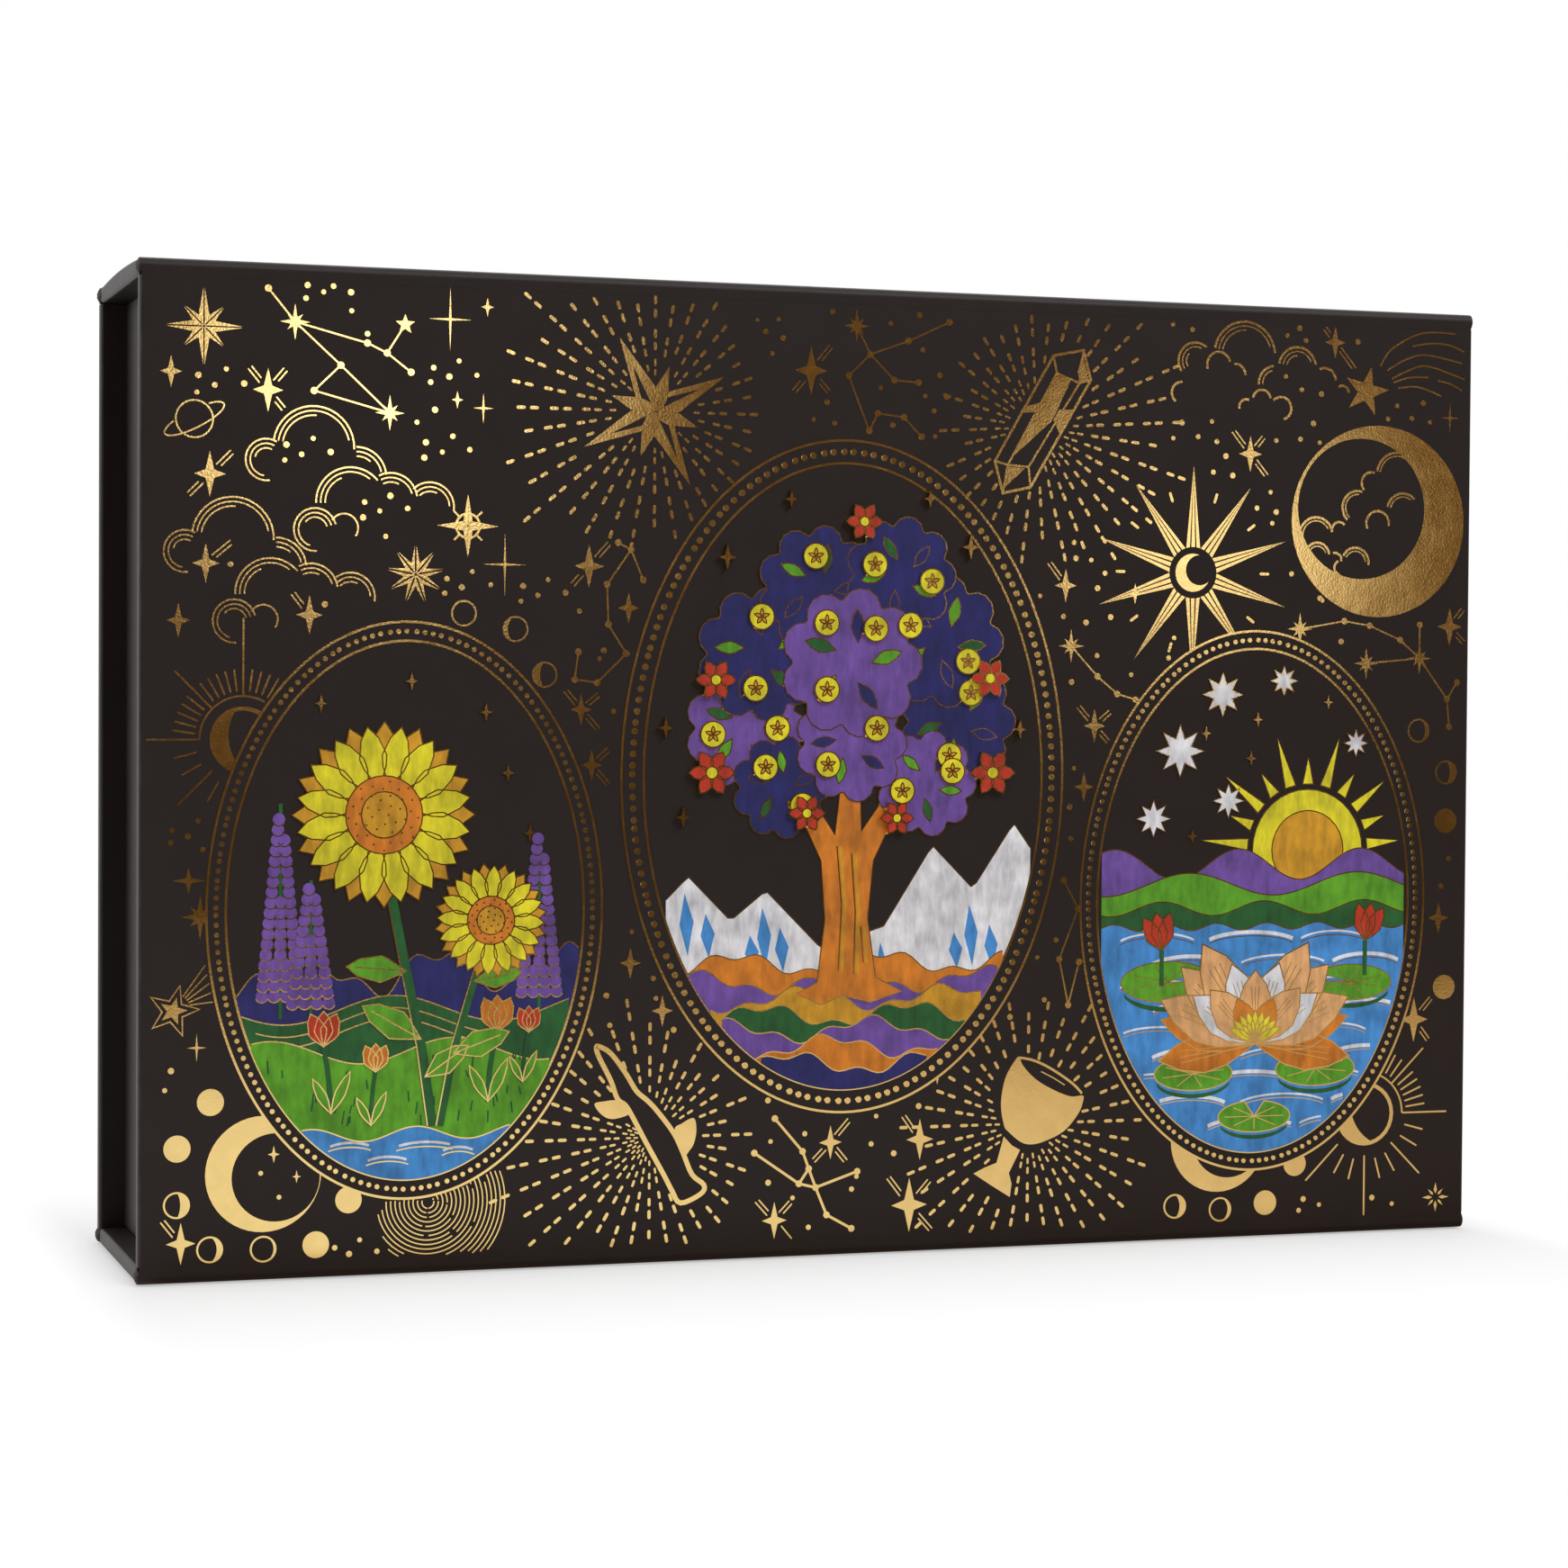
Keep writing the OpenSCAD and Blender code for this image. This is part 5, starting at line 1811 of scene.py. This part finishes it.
def book_cover_foil():
    """A plain border with cut corners, a ring of moons and a sun."""
    design = FrontDesign("guidebook_cover")
    design.border(4.0, 0.6, 0.6)
    design.border(5.6, 0.22, 4.5)
    for side in (-1, 1):
        for end in (-1, 1):
            place = (design.x + side * (design.half_w - 8.4), design.z + end * (design.half_h - 8.4))
            design.fill(needle_outline(*place, 3.2, 2.2, 0.8))
    design.ring(11.4, 0.45)
    design.rays(16, 12.2, 19.0, 16.0, 4)
    design.fill(circle(design.x, design.z, 8.2, 40))
    for i in range(8):
        x, z = polar(design.x, design.z, 25.0, 45 * i)
        if i == 4:
            design.fill(circle(x, z, 2.2, 28))
        else:
            hole = (2.0, 1.8, 1.6, 1.4)[min(i, 8 - i)]
            design.work.eclipse(x, z, 2.2, hole, (2.0 - hole) * 0.95, 0 if i > 4 else 180, design.top)
    for end in (-1, 1):
        for i in range(-3, 4):
            design.fill(circle(design.x + 4.5 * i, design.z + end * (39 - abs(i)), 0.5, 10))
        design.fill(star_outline(design.x, design.z + end * 45, 8, 3.6, 1.5))
    design.finish("book_cover_foil", "guidebook")


class TAROT_OT_deck(Operator):
    """Finishes the cards of the deck"""
    bl_idname = "tarot_box.deck"
    bl_label = "Deck"

    def execute(self, context):
        for suit in ("major_arcana", "wands", "cups", "swords", "pentacles"):
            dress_node(suit + "_cards", "card_stock")
        card_back_foil()
        return {"FINISHED"}


class TAROT_OT_guidebook(Operator):
    """Finishes the guidebook"""
    bl_idname = "tarot_box.guidebook"
    bl_label = "Guidebook"

    def execute(self, context):
        dress_node("guidebook_cover", "book_cover")
        dress_node("guidebook_sections", "book_pages")
        dress_node("guidebook_glue", "book_glue")
        book_cover_foil()
        return {"FINISHED"}


def lifting_ribbon(name, node, body):
    """A satin ribbon behind a stack, round its upper end and down its front to a swallowtail."""
    low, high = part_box(node)
    thick = 0.3 * MM
    bend, steps = 1.1 * MM, 6
    front, back, top = low.y + thick / 2, high.y - thick / 2, high.z - thick / 2
    tab = 32 * MM
    path = [(back, low.z + (top - bend - low.z) * i / 24) for i in range(25)]
    for centre_y, start in ((back - bend, 0), (front + bend, 90)):
        path += arc(centre_y, top - bend, bend, start, start + 90, steps)[1:]
    fall = tab - bend
    for i in range(1, 17):
        t = i / 16
        path.append((front - 0.6 * MM * math.sin(math.pi * t) * t, top - bend - fall * t))
    columns, notch = 8, 5.0 * MM
    verts = []
    total = len(path)
    for row, (y, z) in enumerate(path):
        for column in range(columns + 1):
            across = 2 * column / columns - 1
            cut = notch * (1 - abs(across)) * max(0.0, (row - total + 5) / 4)
            x = (low.x + high.x) / 2 + across * (high.x - low.x) / 2
            verts.append((x, y, z + cut))
    mesh = mesh_from(name, verts, grid_faces(total, columns + 1), smooth=True)
    obj = add_piece(name, mesh, ["satin"], body, [node])
    cloth = obj.modifiers.new("Cloth", "SOLIDIFY")
    cloth.thickness = 0.22 * MM
    cloth.offset = 0


class TAROT_OT_ribbons(Operator):
    """Lays the lifting ribbons round the deck and the guidebook"""
    bl_idname = "tarot_box.ribbons"
    bl_label = "Lifting ribbons"

    def execute(self, context):
        lifting_ribbon("deck_lifting_ribbon", "deck_ribbon", "deck")
        lifting_ribbon("book_lifting_ribbon", "book_ribbon", "guidebook")
        return {"FINISHED"}


# Stage
def area_lamp(name, place, target, size, watts):
    data = bpy.data.lights.new(name, "AREA")
    data.shape, data.size = "SQUARE", size
    data.energy = watts
    lamp = bpy.data.objects.new(name, data)
    lamp.location = place
    lamp.rotation_mode = "QUATERNION"
    lamp.rotation_quaternion = (Vector(target) - Vector(place)).to_track_quat("-Z", "Y")
    bpy.context.scene.collection.objects.link(lamp)


def warm_when_dim(tree, strength):
    """A light's colour: amber where it is faint, white where it is strong."""
    return blended(tree, strength, (1, 0.56, 0.20), (1, 1, 1))


def seen_directly(tree, path):
    """1 for what the camera sees, straight or through glass."""
    return combine(tree, "MAXIMUM", path.outputs["Is Camera Ray"], path.outputs["Is Transmission Ray"])


def floor_material(base):
    """A pale floor that fades to white away from the object, with a painted shadow round it, and that foil
    mirrors as a white sweep with a painted shadow under the box.
    """
    material, tree, shader = new_material("stage_floor", base, Roughness=0.9, Specular_IOR_Level=0.1)
    place = add_node(tree, "TexCoord").outputs["Object"]
    # The contact shadow, partly painted: near the box the floor shows its diffuse shading with the real
    # shadow, and a fade by distance from the footprint paints its grey; how far it reaches, how much narrower
    # it is at the ends, its darkest share of white
    reach, narrower, painted_shadow_darkest = 0.05, 6, 0.45
    footprint = (-narrower * CAD_BOX[1].x, -CAD_BOX[1].y, 0)
    beyond = vectors(tree, "MULTIPLY_ADD", vectors(tree, "ABSOLUTE", place), (narrower, 1, 1), footprint)
    beyond = vectors(tree, "MAXIMUM", beyond, (0, 0, 0))
    far = remap(tree, vectors(tree, "LENGTH", beyond, result="Value"), high=reach)
    white_past_painted_shadow = remap(tree, combine(tree, "POWER", far, 0.5), to_low=painted_shadow_darkest)
    path = add_node(tree, "LightPath")
    shown = combine(tree, "MULTIPLY", seen_directly(tree, path), white_past_painted_shadow)
    white = add_node(tree, "Emission", {"Color": (1, 1, 1, 1), "Strength": 1.0})
    plain = add_node(tree, "MixShader", {0: shown, 1: shader.outputs[0], 2: white.outputs[0]})
    # The sweep in the foil: dim far in front, with a painted shadow under the box, and darker towards the
    # right
    spot = add_node(tree, "SeparateXYZ", {0: place})
    across, depth = spot.outputs["X"], spot.outputs["Y"]
    table = remap(tree, remap(tree, depth, -0.62, -0.18, smooth=True), to_low=0.1, to_high=0.98)
    # Painted shadow: the mirrored floor is dimmed under and beside the box, where its contact shadow falls
    below = remap(tree, depth, -0.05, -0.02, smooth=True)
    painted_shadow_under_box = combine(tree, "MULTIPLY", below, remap(tree, across, -0.10, -0.09, smooth=True))
    glow = combine(tree, "MULTIPLY", table, remap(tree, painted_shadow_under_box, to_low=1.0, to_high=0.3))
    glow = combine(tree, "MULTIPLY", glow, remap(tree, across, -0.02, 0.14, 1.0, 0.66))
    sweep = add_node(tree, "Emission", {"Color": warm_when_dim(tree, glow), "Strength": glow})
    glossy = path.outputs["Is Glossy Ray"]
    final = add_node(tree, "MixShader", {0: glossy, 1: plain.outputs[0], 2: sweep.outputs[0]})
    tree.links.new(final.outputs[0], tree.nodes["Material Output"].inputs["Surface"])
    return material


def window_glow(tree, way, towards, spread, strength):
    """A soft round glow in the room; spread is its radius in degrees."""
    along = vectors(tree, "DOT_PRODUCT", way, tuple(Vector(towards).normalized()), result="Value")
    inside = remap(tree, along, math.cos(math.radians(spread)))
    return combine(tree, "MULTIPLY", combine(tree, "POWER", inside, 4.0), strength)


def studio_world():
    """White to the camera; to foil, a white sweep behind the object and a dim room with two windows."""
    world = bpy.data.worlds.new("studio")
    bpy.context.scene.world = world
    world.use_nodes = True
    tree = world.node_tree
    tree.nodes.clear()

    def background(tint, strength):
        return add_node(tree, "Background", {"Color": tint, "Strength": strength}).outputs[0]

    view = add_node(tree, "TexCoord").outputs["Generated"]
    way = add_node(tree, "SeparateXYZ", {0: view})
    front_window = window_glow(tree, view, (96, -466, 40), 4.8, 4.2)
    side_window = window_glow(tree, view, (213, -466, 21), 4.0, 2.4)
    windows = combine(tree, "ADD", front_window, side_window)
    sweep = remap(tree, way.outputs["Y"], -0.35, 0.35, smooth=True)
    ceiling = remap(tree, way.outputs["Z"], 0.40, 0.85, smooth=True)
    left = remap(tree, combine(tree, "MULTIPLY", way.outputs["X"], -1.0), 0.55, 0.90, smooth=True)
    lit = combine(tree, "MAXIMUM", combine(tree, "MAXIMUM", sweep, ceiling), left)
    walls = background(blended(tree, lit, (0.10, 0.056, 0.026), (1, 1, 1)), 1.0)
    mirror = add_node(tree, "AddShader", {0: walls, 1: background(warm_when_dim(tree, windows), windows)})
    path = add_node(tree, "LightPath")
    ambient, white = background((1, 1, 1, 1), 0.40), background((1, 1, 1, 1), 1.0)
    plain = add_node(tree, "MixShader", {0: seen_directly(tree, path), 1: ambient, 2: white})
    glossy = path.outputs["Is Glossy Ray"]
    final = add_node(tree, "MixShader", {0: glossy, 1: plain.outputs[0], 2: mirror.outputs[0]})
    out = tree.nodes.new("ShaderNodeOutputWorld")
    tree.links.new(final.outputs[0], out.inputs["Surface"])


class TAROT_OT_stage(Operator):
    """Sets the pale floor, the soft lamps and the camera"""
    bl_idname = "tarot_box.stage"
    bl_label = "Stage"

    def execute(self, context):
        stage = context.scene.tarot_stage
        context.scene.view_settings.view_transform = "Standard"
        half, drop = 4.0, 0.2 * MM
        corners = [(-half, -half, 0), (half, -half, 0), (half, half, 0), (-half, half, 0)]
        mesh = mesh_from("floor", corners, [[0, 1, 2, 3]])
        floor = bpy.data.objects.new("floor", mesh)
        mesh.materials.append(floor_material(stage.floor))
        floor.location.z = -drop
        context.scene.collection.objects.link(floor)
        studio_world()
        middle = (CAD_BOX[0] + CAD_BOX[1]) / 2
        area_lamp("key_lamp", (0.55, -1.1, 1.1), middle, 0.9, 12)
        area_lamp("side_lamp", (-1.3, 0.25, 0.55), middle, 0.8, 4)
        area_lamp("back_lamp", (0.4, 1.0, 1.1), middle, 0.9, 5)

        data = bpy.data.cameras.new("camera")
        data.sensor_width, data.lens = 36.0, stage.lens
        data.dof.use_dof = False
        camera = bpy.data.objects.new("camera", data)
        context.scene.collection.objects.link(camera)
        turn, rise, roll = (math.radians(a) for a in (stage.azimuth, stage.elevation, stage.roll))
        away = Vector((math.sin(turn) * math.cos(rise), -math.cos(turn) * math.cos(rise), math.sin(rise)))
        target = Vector((-1.94, 0, 63.95)) * MM
        camera.location = target + away * stage.distance
        camera.rotation_mode = "QUATERNION"
        level = (-away).to_track_quat("-Z", "Y")
        camera.rotation_quaternion = level @ Matrix.Rotation(roll, 3, "Z").to_quaternion()
        context.scene.camera = camera
        return {"FINISHED"}


STEPS = (
    TAROT_OT_stage, TAROT_OT_case, TAROT_OT_folds, TAROT_OT_corners, TAROT_OT_tray, TAROT_OT_insert,
    TAROT_OT_bursts, TAROT_OT_stars, TAROT_OT_sky, TAROT_OT_constellations, TAROT_OT_pictures, TAROT_OT_deck,
    TAROT_OT_guidebook, TAROT_OT_ribbons,
)


class TAROT_PT_panel(Panel):
    bl_idname = "TAROT_PT_panel"
    bl_label = "Tarot card box"
    bl_space_type = "VIEW_3D"
    bl_region_type = "UI"
    bl_category = "Tarot box"

    def draw(self, context):
        for step in STEPS:
            self.layout.operator(step.bl_idname)


SETTINGS = {
    "tarot_case": CaseSettings,
    "tarot_foil": FoilSettings,
    "tarot_pictures": PictureSettings,
    "tarot_contents": ContentsSettings,
    "tarot_stage": StageSettings,
}


CLASSES = (*SETTINGS.values(), *STEPS, TAROT_PT_panel)


def register():
    for item in CLASSES:
        bpy.utils.register_class(item)
    for name, settings in SETTINGS.items():
        setattr(bpy.types.Scene, name, bpy.props.PointerProperty(type=settings))


def unregister():
    for name in SETTINGS:
        delattr(bpy.types.Scene, name)
    for item in reversed(CLASSES):
        bpy.utils.unregister_class(item)


def main():
    register()
    for step in STEPS:
        family, name = step.bl_idname.split(".")
        getattr(getattr(bpy.ops, family), name)()


if __name__ == "__main__":
    main()
